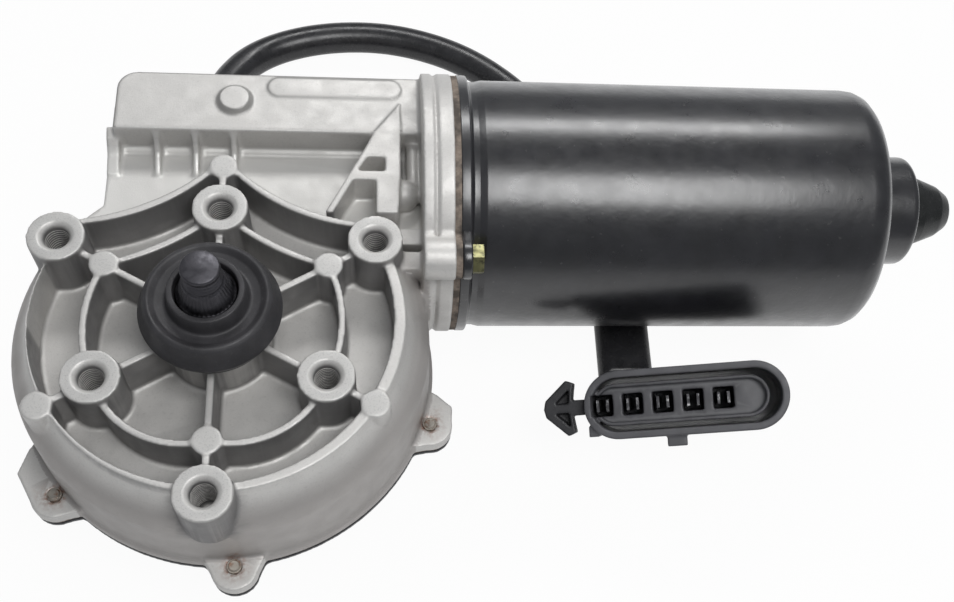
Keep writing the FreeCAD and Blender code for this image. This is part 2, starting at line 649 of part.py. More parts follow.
def shaft_bushes():
    """Two bronze bushes, one at each end of the housing's long shaft bore."""
    made = new_body("output_shaft_bushes")
    outer = S.out_shaft_dia / 2 + S.out_bush_wall - S.seat_gap
    inner = S.out_shaft_dia / 2 + S.running_gap
    low = -(S.floor_depth + S.floor_wall)
    lower = Sketch(made, offset=low).circle(0, 0, outer).circle(0, 0, inner)
    pad(made, lower, 8.0)
    collar = Sketch(made, offset=low + 7.5).circle(0, 0, outer).circle(0, 0, outer - 0.6)
    pad(made, collar, S.hub_rise - low - 15.0)
    upper = Sketch(made, offset=S.hub_rise - 8.0).circle(0, 0, outer).circle(0, 0, inner)
    pad(made, upper, 8.0)
    return made


def shaft_seal():
    """The rubber seal over the hub: skirt, brim, sloping side, crest, dish and a lip round the shaft."""
    low, brim, crest = 0.3 - S.rib_drop, S.seal_brim, S.seal_crest
    neck, bore, rise = S.seal_neck_r, S.seal_bore_r, S.seal_rise
    inside = S.hub_dia / 2 + S.seat_gap
    return turned("shaft_seal", (inside, low), (S.seal_skirt_r, low), (S.seal_skirt_r, brim),
                  (S.seal_r - 0.4, brim, (S.seal_r, brim + 0.6)), (S.seal_r - 0.1, brim + 1.3),
                  (S.seal_crest_r + 0.6, crest - 0.7, (S.seal_crest_r, crest)),
                  (S.seal_crest_r - 1.1, crest - 0.2), (neck + 2.0, crest - 1.2),
                  (neck + 0.7, crest - 0.6), (neck, rise - 1.0), (neck - 0.5, rise), (bore, rise),
                  (bore, S.hub_rise + 3.4), (inside - 1.6, S.hub_rise + 3.4), (inside - 1.6, S.hub_rise),
                  (inside, S.hub_rise))


def yoke():
    """The drawn steel cup: rim with two ears, round body, end boss and bearing neck."""
    length, corner, wall = S.yoke_length, S.yoke_corner, S.yoke_wall
    outer, inner = S.yoke_r, S.yoke_r - S.yoke_wall
    boss, neck = length + S.end_boss_length, length + S.end_boss_length + S.end_neck_length
    seat = S.journal_dia / 2 + S.rear_bush_wall
    end_r, curl, bend = S.end_boss_r, S.end_boss_bend, 0.2929
    made = turned("yoke", (inner, 0), (outer + 1.4, 0), (outer + 1.4, S.rim_wall), (outer, S.rim_wall),
                  (outer, length - corner, (outer - corner * bend, length - corner * bend)),
                  (outer - corner, length),
                  (end_r + 1.0, length, (end_r + 0.3, length + 0.3)), (end_r, length + 1.0),
                  (end_r, boss - curl, (end_r - curl * bend, boss - curl * bend)),
                  (end_r - curl, boss), (S.end_neck_r, boss), (S.end_neck_r, neck), (0, neck),
                  (0, neck - wall), (seat, neck - wall), (seat, length - wall),
                  (inner - corner, length - wall,
                   (inner - corner * bend, length - wall - corner * bend)),
                  (inner, length - wall - corner))
    add_ears(made, 0, S.rim_wall, "XY", (0, 0), 90, S.ear_width / 2)
    holes = Sketch(made, offset=-1.0)
    for side in EAR_SIDES:
        x, y = polar(S.ear_r, side + 90 - S.ear_angle)
        holes.circle(x, y, S.yoke_screw_dia / 2 + 0.2)
    pocket(made, holes, S.rim_wall + 2.0)
    return on_motor(made, S.yoke_start)


def yoke_gasket():
    """The fibre gasket under the yoke's rim."""
    made = new_body("yoke_gasket")
    ring = Sketch(made).circle(0, 0, S.yoke_r + 1.2).circle(0, 0, S.recess_r + 0.6)
    pad(made, ring, S.yoke_gasket_wall)
    add_ears(made, 0, S.yoke_gasket_wall, "XY", (0, 0), 90, S.ear_width / 2 - 0.3)
    holes = Sketch(made, offset=-1.0)
    for side in EAR_SIDES:
        x, y = polar(S.ear_r, side + 90 - S.ear_angle)
        holes.circle(x, y, S.yoke_screw_dia / 2 + 0.2)
    pocket(made, holes, S.yoke_gasket_wall + 2.0)
    return on_motor(made, S.flange_face)


def yoke_screws():
    """Two hexagon screws through the yoke's ears into the cast flange."""
    made = new_body("yoke_screws")
    head = S.yoke_screw_dia * 0.9
    for side in EAR_SIDES:
        x, y = polar(S.ear_r, side + 90 - S.ear_angle)
        sketch = Sketch(made, offset=S.rim_wall, across=x, up=y)
        corners = [polar(head, side - S.ear_angle + 60 * step) for step in range(6)]
        pad(made, sketch.loop(*corners), S.yoke_screw_dia * 0.62)
        shank = Sketch(made, offset=-(S.yoke_gasket_wall + S.yoke_screw_bite - 1.0))
        shank.circle(x, y, S.yoke_screw_dia / 2 - S.seat_gap)
        pad(made, shank, S.yoke_gasket_wall + S.yoke_screw_bite - 1.0 + S.rim_wall)
    return on_motor(made, S.yoke_start)


def arc_shell(label, inner, outer, half, x, length):
    """Part of a ring on the armature's axis, symmetric about its own middle direction."""
    made = new_body(label)
    sketch = Sketch(made)
    start_out, end_out = polar(outer, -half), polar(outer, half)
    start_in, end_in = polar(inner, -half), polar(inner, half)
    sketch.loop(start_out + (polar(outer, 0),), end_out, end_in + (polar(inner, 0),), start_in)
    pad(made, sketch, length)
    return made


def magnets():
    """Two field magnets that line the yoke."""
    made = []
    outer = S.yoke_r - S.yoke_wall
    inner = S.stack_r + S.magnet_gap
    for label, side in (("magnet_upper", 180), ("magnet_lower", 0)):
        shell = arc_shell(label, inner, outer, 64, S.stack_start, S.stack_length)
        made.append(on_motor(shell, S.stack_start, Z_TO_X * FreeCAD.Rotation(V(0, 0, 1), side)))
    return made


def magnet_clips():
    """Two spring clips that wedge the magnets apart."""
    made = new_body("magnet_clips")
    outer = S.yoke_r - S.yoke_wall
    for side in (90, -90):
        sketch = Sketch(made)
        arc = [polar(outer, side - 22), polar(outer, side), polar(outer, side + 22)]
        low = [polar(outer - 1.2, side - 22), polar(outer - 1.2, side), polar(outer - 1.2, side + 22)]
        sketch.loop(arc[0] + (arc[1],), arc[2], low[2] + (low[1],), low[0])
        pad(made, sketch, S.stack_length - 6.0)
    return on_motor(made, S.stack_start + 3.0)


def end_cap():
    """The rubber nipple that closes the yoke's bearing neck."""
    tip, length, base = S.end_cap_tip_r, S.end_cap_length, S.end_cap_r
    made = turned("end_cap", (0, 0), (base, 0), (base, 1.0), (base - 0.6, 1.6), (base - 1.1, 4.2),
                  (tip, length - 5.0, (tip - 2.4, length - 1.4)), (tip - 6.0, length), (0, length))
    return on_motor(made, S.yoke_start + S.yoke_length + S.end_boss_length + S.end_neck_length)


def rear_bush():
    """The sintered bush in the yoke's neck."""
    made = tube("rear_bush", S.journal_dia / 2 + S.rear_bush_wall, S.journal_dia / 2 + S.running_gap, 9.0)
    return on_motor(made, S.yoke_start + S.yoke_length + 1.0)


def front_bearing():
    """The ball bearing at the worm: outer race and balls stay with the housing."""
    outer = tube("bearing_outer_race", S.bearing_dia / 2, S.bearing_dia / 2 - 2.2, S.bearing_width)
    inner = tube("bearing_inner_race", S.journal_dia / 2 + 2.2, S.journal_dia / 2, S.bearing_width)
    balls = new_body("bearing_balls")
    pitch = (S.bearing_dia + S.journal_dia) / 4
    play = (S.bearing_dia / 2 - S.journal_dia / 2 - 4.4) / 2 - S.running_gap
    profile = Sketch(balls, "XZ", across=pitch)
    profile.loop((0, -play, (play, 0)), (0, play))
    ball = feature(balls, "Revolution", profile)
    ring = balls.newObject("PartDesign::PolarPattern", "bearing_balls_ring")
    ring.Originals = [ball]
    axes = [f for f in balls.Origin.OriginFeatures if f.Role == "Z_Axis"]
    ring.Axis = (axes[0], [""])
    ring.Angle = 360
    ring.Occurrences = 8
    balls.Tip = ring
    doc.recompute()
    on_motor(outer, S.bearing_start)
    on_motor(inner, S.bearing_start)
    return on_motor(balls, S.bearing_start + S.bearing_width / 2)


def thrust_parts():
    """The screw that closes the tunnel and the ball that the armature runs against."""
    screw = tube("thrust_screw", S.thrust_dia / 2 - S.seat_gap, 0, S.worm_bore_end - S.block_left)
    on_motor(screw, S.block_left)
    ball = new_body("thrust_ball")
    radius = S.thrust_ball_dia / 2
    feature(ball, "Revolution", Sketch(ball, "XZ").loop((0, -radius, (radius, 0)), (0, radius)))
    on_motor(ball, S.worm_bore_end + radius)


def brush_gear():
    """The brush plate with two holders, two brushes and their leaf springs."""
    plate = new_body("brush_plate")
    ring = Sketch(plate).circle(0, 0, S.recess_r - 0.3).circle(0, 0, S.comm_r + 2.0)
    pad(plate, ring, S.brush_plate_wall)
    on_motor(plate, S.flange_face - S.recess_depth)
    start = S.brush_plate_wall
    holders, brushes, springs = new_body("brush_holders"), new_body("brushes"), new_body("brush_springs")
    low, high = S.comm_r + 1.5, S.recess_r - 5.0
    width, depth = S.brush_width, S.brush_depth
    for sign in (1, -1):
        near, far = (low, high) if sign > 0 else (-high, -low)
        sketch = Sketch(holders, offset=start)
        pad(holders, box_loop(sketch, -(width / 2 + 1.0), near, width / 2 + 1.0, far), depth + 4.0)
        cell = Sketch(holders, offset=start + 2.0)
        pocket(holders, box_loop(cell, -(width / 2 + 0.05), near - 1.0, width / 2 + 0.05, far + 1.0), depth)
        tip = (S.comm_r + S.running_gap) * sign
        end = (high - 3.0) * sign
        near, far = (tip, end) if sign > 0 else (end, tip)
        sketch = Sketch(brushes, offset=start + 2.05)
        pad(brushes, box_loop(sketch, -(width / 2), near, width / 2, far), depth - 0.1)
        near, far = (high - 3.0, high + 1.2) if sign > 0 else (-(high + 1.2), -(high - 3.0))
        sketch = Sketch(springs, offset=start + 4.0)
        pad(springs, box_loop(sketch, -1.6, near, 1.6, far), depth - 4.0)
    for node in (holders, brushes, springs):
        on_motor(node, S.flange_face - S.recess_depth)


def armature_shaft():
    """The armature's shaft with the worm cut at its end."""
    module, pitch_r = S.worm_module, S.axis_y - S.wheel_teeth * S.worm_module / 2
    root = pitch_r - module * 1.2
    pitch = module * round(math.pi, 6)
    journal, end = S.journal_dia / 2, S.yoke_start + S.yoke_length + 10.0
    half = pitch * S.worm_turns / 2 + 1.6
    tail = S.worm_bore_end + S.thrust_ball_dia
    seat = S.bearing_start
    rear = S.yoke_start + S.yoke_length
    made = turned("armature_shaft", (0, tail), (journal - 1.0, tail), (journal - 1.0, -half - 2.0),
                  (root, -half), (root, half), (journal, half + 3.0), (journal, seat + S.bearing_width),
                  (S.shaft_dia / 2, seat + S.bearing_width + 0.5), (S.shaft_dia / 2, rear - 6.0),
                  (journal, rear - 5.0), (journal, end), (0, end))
    tooth = Sketch(made, "XZ", up=-(pitch * S.worm_turns / 2))
    tip = pitch_r + module
    tooth.loop((root - 0.4, -1.70), (tip, -0.46), (tip, 0.46), (root - 0.4, 1.70))
    worm = made.newObject("PartDesign::AdditiveHelix", "worm_thread")
    worm.Profile = tooth.made
    worm.ReferenceAxis = (tooth.made, ["V_Axis"])
    worm.Mode = 0
    bind(worm, "Pitch", pitch)
    bind(worm, "Height", pitch * S.worm_turns)
    tooth.made.Visibility = False
    doc.recompute()
    return on_motor(made, 0)


def armature_stack():
    """The laminated core with its slots."""
    made = new_body("armature_stack")
    sketch = Sketch(made).circle(0, 0, S.stack_r).circle(0, 0, S.shaft_dia / 2)
    pad(made, sketch, S.stack_length)
    slot = Sketch(made, offset=-1.0)
    low, mid, high = S.stack_r * 0.52, S.stack_r - 2.2, S.stack_r + 1.0
    slot.loop((low, -1.6), (mid, -3.6), (mid, -1.0), (high, -1.0), (high, 1.0), (mid, 1.0),
              (mid, 3.6), (low, 1.6))
    cut = pocket(made, slot, S.stack_length + 2.0)
    ring = made.newObject("PartDesign::PolarPattern", "stack_slots")
    ring.Originals = [cut]
    axes = [f for f in made.Origin.OriginFeatures if f.Role == "Z_Axis"]
    ring.Axis = (axes[0], [""])
    ring.Angle = 360
    bind(ring, "Occurrences", S.slots)
    made.Tip = ring
    doc.recompute()
    return on_motor(made, S.stack_start)


def armature_windings():
    """The end turns of the winding at both ends of the core."""
    made = new_body("armature_windings")
    outer, inner = S.stack_r - 2.0, S.shaft_dia / 2 + 1.5
    for low in (-9.0, S.stack_length):
        sketch = Sketch(made, "XZ")
        high = low + 9.0
        sketch.loop((inner, low), (outer - 4.0, low, (outer - 1.0, low + 1.5)), (outer, low + 4.5,
                    (outer - 1.0, high - 1.5)), (outer - 4.0, high), (inner, high))
        feature(made, "Revolution", sketch)
    return on_motor(made, S.stack_start)


def commutator():
    """The copper commutator that the brushes run on."""
    made = tube("commutator", S.comm_r, S.shaft_dia / 2, S.comm_length)
    return on_motor(made, S.flange_face)


def worm_wheel():
    """The moulded wheel: skewed teeth that follow the worm's lead, rim, web and hub seat."""
    teeth, module = round(number(S.wheel_teeth)), number(S.worm_module)
    pitch_r, width = teeth * module / 2, number(S.wheel_width)
    worm_r = number(S.axis_y) - pitch_r
    tip, root = pitch_r + 0.9 * module, pitch_r - 1.2 * module
    skew = math.degrees(width / 2 * module / (2 * worm_r) / pitch_r)
    step = 360.0 / teeth

    def outline(z, turn):
        corners = []
        for tooth in range(teeth):
            middle = 90 + turn + step * tooth + step / 2
            for radius, half in ((root, 0.33), (tip, 0.105), (tip, -0.105), (root, -0.33)):
                around = math.radians(middle - half * step)
                corners.append(V(radius * math.cos(around), radius * math.sin(around), z))
        return Part.makePolygon(corners + corners[:1])

    middle_z = number(S.axis_z)
    low, high = middle_z - width / 2, middle_z + width / 2
    body = Part.makeLoft([outline(low, -skew), outline(high, skew)], True, True)
    web = number(S.wheel_hub_r)
    for z, depth in ((low - 1, 3.5), (high - 2.5, 3.5)):
        hub = Part.makeCylinder(web, depth, V(0, 0, z))
        body = body.cut(Part.makeCylinder(root - 4.5, depth, V(0, 0, z)).cut(hub))
    body = body.cut(Part.makeCylinder(web - 3.0, width + 2, V(0, 0, low - 1)))
    made = doc.addObject("Part::Feature", "worm_wheel")
    made.Label = "worm_wheel"
    made.Shape = body.removeSplitter()
    return place(made)


def output_parts():
    """The output shaft with its wheel hub, park ring, washer and circlip."""
    centre = S.axis_z
    half = S.wheel_width / 2
    radius = S.out_shaft_dia / 2
    low = centre - half - 2.0
    rise, thread, cone = S.out_shaft_rise, S.out_thread_dia / 2, S.out_cone_dia / 2
    groove, above = S.hub_rise + 1.0, S.hub_rise + 2.2
    turned("output_shaft", (0, low), (radius, low), (radius, groove), (radius - 0.7, groove),
           (radius - 0.7, above), (radius, above), (radius, rise - 12.6), (cone, rise - 12.4),
           (thread + 0.3, rise - 6.2), (thread, rise - 6.0), (thread, rise - 1.0), (thread - 1.0, rise),
           (0, rise))
    hub = tube("wheel_hub", S.wheel_hub_r - 3.0, radius, S.wheel_width)
    place(hub, 0, 0, centre - half)
    washer = tube("shaft_washer", radius + 2.4, radius + 0.1, 0.98)
    place(washer, 0, 0, S.hub_rise + 0.01)
    clip = tube("shaft_circlip", radius + 1.0, radius - 0.7, 1.0)
    place(clip, 0, 0, S.hub_rise + 1.1)
    ring = tube("park_ring", S.wheel_hub_r + 16.0, S.wheel_hub_r + 4.0, 0.8)
    place(ring, 0, 0, centre - half + 2.5 - 0.8)


def park_switch():
    """The contact plate in the cover and its three spring fingers on the park ring."""
    plate = new_body("park_plate")
    sketch = Sketch(plate).circle(S.drum_x, S.drum_y, S.cover_step_r - S.cover_wall - 3.0)
    pad(plate, sketch, 2.4)
    place(plate, 0, 0, -S.cover_step_depth + S.cover_wall)
    fingers = new_body("park_fingers")
    top = S.axis_z - S.wheel_width / 2 + 2.5 - 0.8 - S.running_gap
    low = -S.cover_step_depth + S.cover_wall + 2.4
    for index, radius in enumerate((21.0, 25.0, 29.0)):
        x0, x1 = -radius, -radius + 2.0
        sketch = Sketch(fingers, "YZ", offset=x0)
        sketch.loop((-14.0, low), (-6.0, low), (-6.0, low + 0.6), (0, top - 0.7), (2.0, top - 0.7),
                    (2.0, top), (-1.0, top), (-7.6, low + 1.2), (-14.0, low + 1.2))
        pad(fingers, sketch, x1 - x0)
    return place(fingers)


CABLE_ROUTE = [(-16.0, 84.0, -58.0), (-16.0, 105.0, -58.0), (-12.5, 130.0, -64.5), (-0.5, 149.5, -69.2),
               (24.0, 158.5, -69.2), (53.0, 158.5, -69.2), (82.0, 147.0, -69.2), (106.0, 123.0, -69.2),
               (121.0, 93.0, -69.2), (127.0, 61.0, -69.2), (127.0, 36.0, -69.2)]


def cable():
    """The sleeved cable: straight runs joined by tangent arcs, swept as one round tube."""
    points = [V(*point) for point in CABLE_ROUTE]
    edges, here = [], points[0]
    for before, corner, after in zip(points, points[1:], points[2:]):
        come, leave = corner - before, after - corner
        half_turn = come.getAngle(leave) / 2
        radius = 0.45 * min(come.Length, leave.Length) / math.tan(half_turn)
        print("cable bend radius %.1f mm, turn %.0f degrees" % (radius, math.degrees(2 * half_turn)))
        reach = radius * math.tan(half_turn)
        start = corner - come.normalize() * reach
        end = corner + leave.normalize() * reach
        inward = (leave - come).normalize()
        middle = corner + inward * (radius / math.cos(half_turn) - radius)
        edges += [Part.LineSegment(here, start).toShape(), Part.Arc(start, middle, end).toShape()]
        here = end
    edges.append(Part.LineSegment(here, points[-1]).toShape())
    path = Part.Wire(edges)
    ring = Part.makeCircle(number(S.cable_dia) / 2, points[0], points[1] - points[0])
    made = doc.addObject("Part::Feature", "cable")
    made.Label = "cable"
    made.Shape = path.makePipeShell([Part.Wire([ring])], True, False)
    section = math.pi * number(S.cable_dia) ** 2 / 4
    if abs(made.Shape.Volume / (section * path.Length) - 1) > 0.01:
        raise RuntimeError("the cable's tube has lost volume")
    print("cable length %.1f mm" % path.Length)
    return place(made)


def cable_grommet():
    """The rubber grommet in the cover's rear wall."""
    wall, lip = S.cover_wall, 2.0
    outer, hole = S.cable_dia / 2 + 1.6, S.cable_dia / 2
    rear = S.strip_rear - 6.0
    end = CABLE_ROUTE[0][1] - rear + wall * 2 + lip
    made = turned("cable_grommet", (hole, 0), (outer + 0.4, 0), (outer + 0.4, lip), (outer, lip),
                  (outer, lip + wall), (outer + 1.8, lip + wall), (outer + 1.2, lip + wall + 2.2),
                  (hole + 1.2, end), (0, end), (0, end - 2.0), (hole, end - 2.0))
    return place(made, S.cable_x, rear - 2 * wall - lip, S.cable_z, Z_TO_Y)


PLUG_TURN = FreeCAD.Rotation(-2.5, -14.8, 23.8)


def on_plug(node):
    """Place a node whose own Z leaves through the connector's mouth."""
    return place(node, S.plug_x, S.plug_y, S.plug_z, PLUG_TURN)


def stadium(sketch, length, height, x=0, y=0):
    """A rounded slot outline around a point."""
    side, end = length / 2 - height / 2, height / 2
    return sketch.loop((x - side, y - end), (x + side, y - end, (x + side + end, y)),
                       (x + side, y + end), (x - side, y + end, (x - side - end, y)))


def blade_places():
    """Where the five blades stand along the connector."""
    return [S.blade_pitch * step - S.blade_shift for step in range(-2, 3)]


def blade_outlines(sketch, grow):
    """Two upright tines at each pole of the connector."""
    across, along = S.blade_wall / 2 + grow, S.blade_width / 2 + grow
    for pole in blade_places():
        for x in (pole - S.blade_gap / 2, pole + S.blade_gap / 2):
            box_loop(sketch, x - across, -along, x + across, along)
    return sketch


def plug_housing():
    """The connector: outer shroud, inner rim, insert with five cells, latch tab and foot."""
    made = new_body("plug_housing")
    length, height, wall, depth = S.plug_length, S.plug_height, S.plug_wall, S.plug_depth
    pad(made, stadium(Sketch(made, offset=-depth), length, height), depth)
    floor = S.plug_floor - depth
    mouth = Sketch(made, offset=floor)
    pocket(made, stadium(mouth, length - wall * 2, height - wall * 2), depth + 1.0)
    rim = Sketch(made, offset=floor - 1.0)
    stadium(rim, length - 8.2, height - 8.0, -1.5)
    stadium(rim, length - 10.4, height - 10.2, -1.5)
    pad(made, rim, depth - S.plug_floor - 3.5)
    insert = Sketch(made, offset=floor - 1.0)
    pad(made, stadium(insert, length - 10.0, height - 9.8, -1.5), depth - S.plug_floor - 6.0)
    cells = Sketch(made, offset=floor)
    for x in blade_places():
        box_loop(cells, x - S.blade_pitch * 0.34, -3.3, x + S.blade_pitch * 0.34, 3.3)
    pocket(made, cells, depth)
    tab = Sketch(made, offset=-13.0)
    box_loop(tab, -6.4, -(height / 2 + 3.2), -0.4, -(height / 2 - 0.5))
    pad(made, tab, 12.0)
    foot = Sketch(made, offset=-15.0)
    box_loop(foot, 1.0 - length / 2, -(height / 2 - 1.2), 4.2 - length / 2, -(height / 2 - 4.5))
    pad(made, foot, 14.0)
    slots = Sketch(made, offset=-depth - 1.0)
    blade_outlines(slots, S.seat_gap)
    pocket(made, slots, S.plug_floor + 2.0)
    return on_plug(made)


def plug_blades():
    """Five forked blades fixed in the connector's floor."""
    made = new_body("plug_blades")
    pad(made, blade_outlines(Sketch(made, offset=-S.plug_depth), 0), S.plug_depth - 7.0)
    return on_plug(made)


def plug_clip():
    """The arrow-shaped clip that holds the connector to a panel."""
    made = new_body("plug_clip")
    start = -(S.plug_length / 2)
    sketch = Sketch(made, offset=-11.0)
    sketch.loop((start, -2.4), (start, 2.4), (start - 4.0, 2.4), (start - 3.2, 7.6), (start - 5.6, 8.6),
                (start - 12.2, 2.6), (start - 12.8, 0), (start - 12.2, -2.6), (start - 5.6, -8.6),
                (start - 3.2, -7.6), (start - 4.0, -2.4))
    pad(made, sketch, 7.0)
    slot = Sketch(made, offset=-8.0)
    slot.loop((start - 5.0, 1.4), (start - 4.6, 6.0), (start - 9.4, 1.4))
    slot.loop((start - 5.0, -1.4), (start - 9.4, -1.4), (start - 4.6, -6.0))
    pocket(made, slot, 5.0)
    return on_plug(made)


def plug_rear():
    """The connector's rear cap, with the flat outlet that the cable's end sleeve joins."""
    cap = new_body("rear_cap")
    low = -S.plug_depth - S.plug_cap_depth
    pad(cap, stadium(Sketch(cap, offset=low), S.plug_length - 4.0, S.plug_height - 4.0), S.plug_cap_depth)
    on_plug(cap)
    spigot = new_body("rear_spigot")
    sketch = Sketch(spigot, "XZ", offset=-S.sleeve_start)
    pad(spigot, stadium(sketch, S.sleeve_width, S.cable_dia - 0.2), S.sleeve_start - S.spigot_stop)
    end = CABLE_ROUTE[-1]
    place(spigot, end[0], 0, end[2])
    made = doc.addObject("Part::MultiFuse", "plug_rear")
    made.Label = "plug_rear"
    made.Shapes = [cap, spigot]
    doc.recompute()
    return made


def cable_sleeve():
    """The flat end sleeve between the round cable and the connector."""
    made = new_body("cable_sleeve")
    end = CABLE_ROUTE[-1]
    sketch = Sketch(made, "XZ", offset=-end[1])
    pad(made, stadium(sketch, S.sleeve_width, S.cable_dia - 0.2), end[1] - S.sleeve_start)
    return place(made, end[0], 0, end[2])


NODES = ["gear_housing", "cover_gasket", "gear_cover", "cover_screws", "output_shaft_bushes", "shaft_seal",
         "yoke", "yoke_gasket", "yoke_screws", "magnet_upper", "magnet_lower", "magnet_clips", "end_cap",
         "rear_bush", "bearing_outer_race", "bearing_balls", "bearing_inner_race", "thrust_screw",
         "thrust_ball", "brush_plate", "brush_holders", "brushes", "brush_springs", "armature_shaft",
         "armature_stack", "armature_windings", "commutator", "worm_wheel", "output_shaft", "wheel_hub",
         "shaft_washer", "shaft_circlip", "park_ring", "park_plate", "park_fingers", "cable",
         "cable_grommet", "cable_sleeve", "plug_housing", "plug_blades", "plug_clip", "plug_rear"]


def build():
    """Make every sub-part."""
    for make in (gear_housing, cover_gasket, gear_cover, cover_screws, shaft_bushes, shaft_seal, yoke,
                 yoke_gasket, yoke_screws, magnets, magnet_clips, end_cap, rear_bush, front_bearing,
                 thrust_parts, brush_gear, armature_shaft, armature_stack, armature_windings, commutator,
                 worm_wheel, output_parts, park_switch, cable, cable_grommet, cable_sleeve, plug_housing,
                 plug_blades, plug_clip, plug_rear):
        make()
    doc.recompute()


def check_and_write():
    """Stop on any failed object or bad shape, then write one STEP file per sub-part."""
    for thing in doc.Objects:
        if "Invalid" in thing.State or "Error" in thing.State:
            raise RuntimeError("%s failed: %s" % (thing.Name, thing.State))
    nodes = []
    for label in NODES:
        node = doc.getObjectsByLabel(label)[0]
        if node.Shape.isNull() or not node.Shape.isValid() or node.Shape.Volume <= 0:
            raise RuntimeError("%s has no valid solid" % label)
        nodes.append(node)
    os.makedirs("parts", exist_ok=True)
    for node in nodes:
        node.Shape.exportStep("parts/%s.step" % node.Label)
        box = node.Shape.BoundBox
        print("%-20s %d solid(s) %10.1f mm3  x %.1f..%.1f  y %.1f..%.1f  z %.1f..%.1f" % (
            node.Label, len(node.Shape.Solids), node.Shape.Volume, box.XMin, box.XMax, box.YMin,
            box.YMax, box.ZMin, box.ZMax))


build()
check_and_write()
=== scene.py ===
"""Looks of the wiper motor: cast, painted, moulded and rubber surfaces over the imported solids."""
import math

import bmesh
import bpy
import numpy as np
from mathutils import Matrix, Vector


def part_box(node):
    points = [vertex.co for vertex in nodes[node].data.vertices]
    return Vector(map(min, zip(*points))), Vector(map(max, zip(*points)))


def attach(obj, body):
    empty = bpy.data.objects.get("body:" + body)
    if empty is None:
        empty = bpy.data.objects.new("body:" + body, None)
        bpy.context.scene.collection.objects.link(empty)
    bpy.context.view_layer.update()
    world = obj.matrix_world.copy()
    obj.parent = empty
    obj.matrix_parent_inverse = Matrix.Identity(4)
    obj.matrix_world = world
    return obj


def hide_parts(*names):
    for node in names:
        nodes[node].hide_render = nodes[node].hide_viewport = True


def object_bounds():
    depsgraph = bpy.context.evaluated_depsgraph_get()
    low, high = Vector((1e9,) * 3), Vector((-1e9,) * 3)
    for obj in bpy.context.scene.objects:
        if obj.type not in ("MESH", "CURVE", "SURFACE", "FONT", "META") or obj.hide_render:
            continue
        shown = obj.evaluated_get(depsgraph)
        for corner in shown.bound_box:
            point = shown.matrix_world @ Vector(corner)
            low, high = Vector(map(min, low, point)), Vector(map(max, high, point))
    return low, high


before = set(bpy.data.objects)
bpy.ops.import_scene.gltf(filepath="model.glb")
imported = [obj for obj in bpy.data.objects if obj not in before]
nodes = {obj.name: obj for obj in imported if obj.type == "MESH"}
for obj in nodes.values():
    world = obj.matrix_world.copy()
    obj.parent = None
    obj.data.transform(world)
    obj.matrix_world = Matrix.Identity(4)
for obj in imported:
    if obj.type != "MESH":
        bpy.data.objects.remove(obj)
solid_box = [list(corner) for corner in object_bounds()]
scene = bpy.context.scene
scene.view_settings.view_transform = "Standard"
MM = 0.001
TABLE_Z = solid_box[0][2]


# ---------------------------------------------------------------- camera, floor and light
CAMERA_TURN = (-16.964, 64.09, 15.079)      # azimuth, elevation and roll in degrees
CAMERA_AIM = Vector((0.086093, -0.019537, 0))
CAMERA_REACH = 0.323989
CAMERA_LENS, CAMERA_FILM = 45.10, 36
CAMERA_SHIFT = (-0.0607, 0.0840)
LAMPS_AIM = Vector((0.08, 0.03, -0.03))
WORLD_LEVEL = 0.18
WORLD_IN_GLOSS = 0.05                       # share of white that glossy surfaces see
FLOOR_IN_GLOSS = 0.52
FLOOR_WHITE = 0.955                         # the rest shows the object's shadow
FLOOR_AT = (0.115, 0.03)
FLOOR_HALF = 3.0
FLOOR_FADE = (0.13, 0.26, 1.0, 0.12)        # from, to, share near, share far


def aim(thing, where, back, up):
    """Stand a camera or lamp at a point, looking against back."""
    right = up.cross(back).normalized()
    turn = Matrix((right, back.cross(right), back)).transposed().to_4x4()
    thing.matrix_world = Matrix.Translation(where) @ turn
    scene.collection.objects.link(thing)


def set_camera():
    az, el, roll = (math.radians(a) for a in CAMERA_TURN)
    back = Vector((math.sin(az) * math.cos(el), -math.cos(az) * math.cos(el), math.sin(el)))
    right = Vector((0, 0, 1)).cross(back).normalized()
    up = back.cross(right) * math.cos(roll) - right * math.sin(roll)
    data = bpy.data.cameras.new("view")
    data.lens, data.sensor_width = CAMERA_LENS, CAMERA_FILM
    data.shift_x, data.shift_y = CAMERA_SHIFT
    data.clip_start = 0.01
    eye = bpy.data.objects.new("view", data)
    aim(eye, CAMERA_AIM + back * CAMERA_REACH, back, up)
    scene.camera = eye


def lamp(name, direction, distance, wide, deep, radiance):
    """A rectangular lamp that looks at the motor's middle."""
    data = bpy.data.lights.new(name, "AREA")
    data.shape, data.size, data.size_y = "RECTANGLE", wide, deep
    data.energy = radiance * math.pi * wide * deep
    back = Vector(direction).normalized()
    thing = bpy.data.objects.new(name, data)
    aim(thing, LAMPS_AIM + back * distance, back, Vector((0, 1, 0.01)))


def seen_white(tree, glossy_share, far=None):
    """A factor: 1 for camera rays, a share for glossy and transmitted ones, less far away."""
    path = tree.nodes.new("ShaderNodeLightPath")
    steps = []
    for kind in ("MAXIMUM", "MULTIPLY", "MULTIPLY", "MAXIMUM"):
        steps.append(tree.nodes.new("ShaderNodeMath"))
        steps[-1].operation = kind
        steps[-1].inputs[1].default_value = 1.0
    for before, after in zip(steps, steps[1:]):
        tree.links.new(before.outputs[0], after.inputs[0])
    tree.links.new(path.outputs["Is Glossy Ray"], steps[0].inputs[0])
    tree.links.new(path.outputs["Is Transmission Ray"], steps[0].inputs[1])
    steps[1].inputs[1].default_value = glossy_share
    if far is not None:
        tree.links.new(far, steps[2].inputs[1])
    tree.links.new(path.outputs["Is Camera Ray"], steps[3].inputs[1])
    return steps[3].outputs[0]


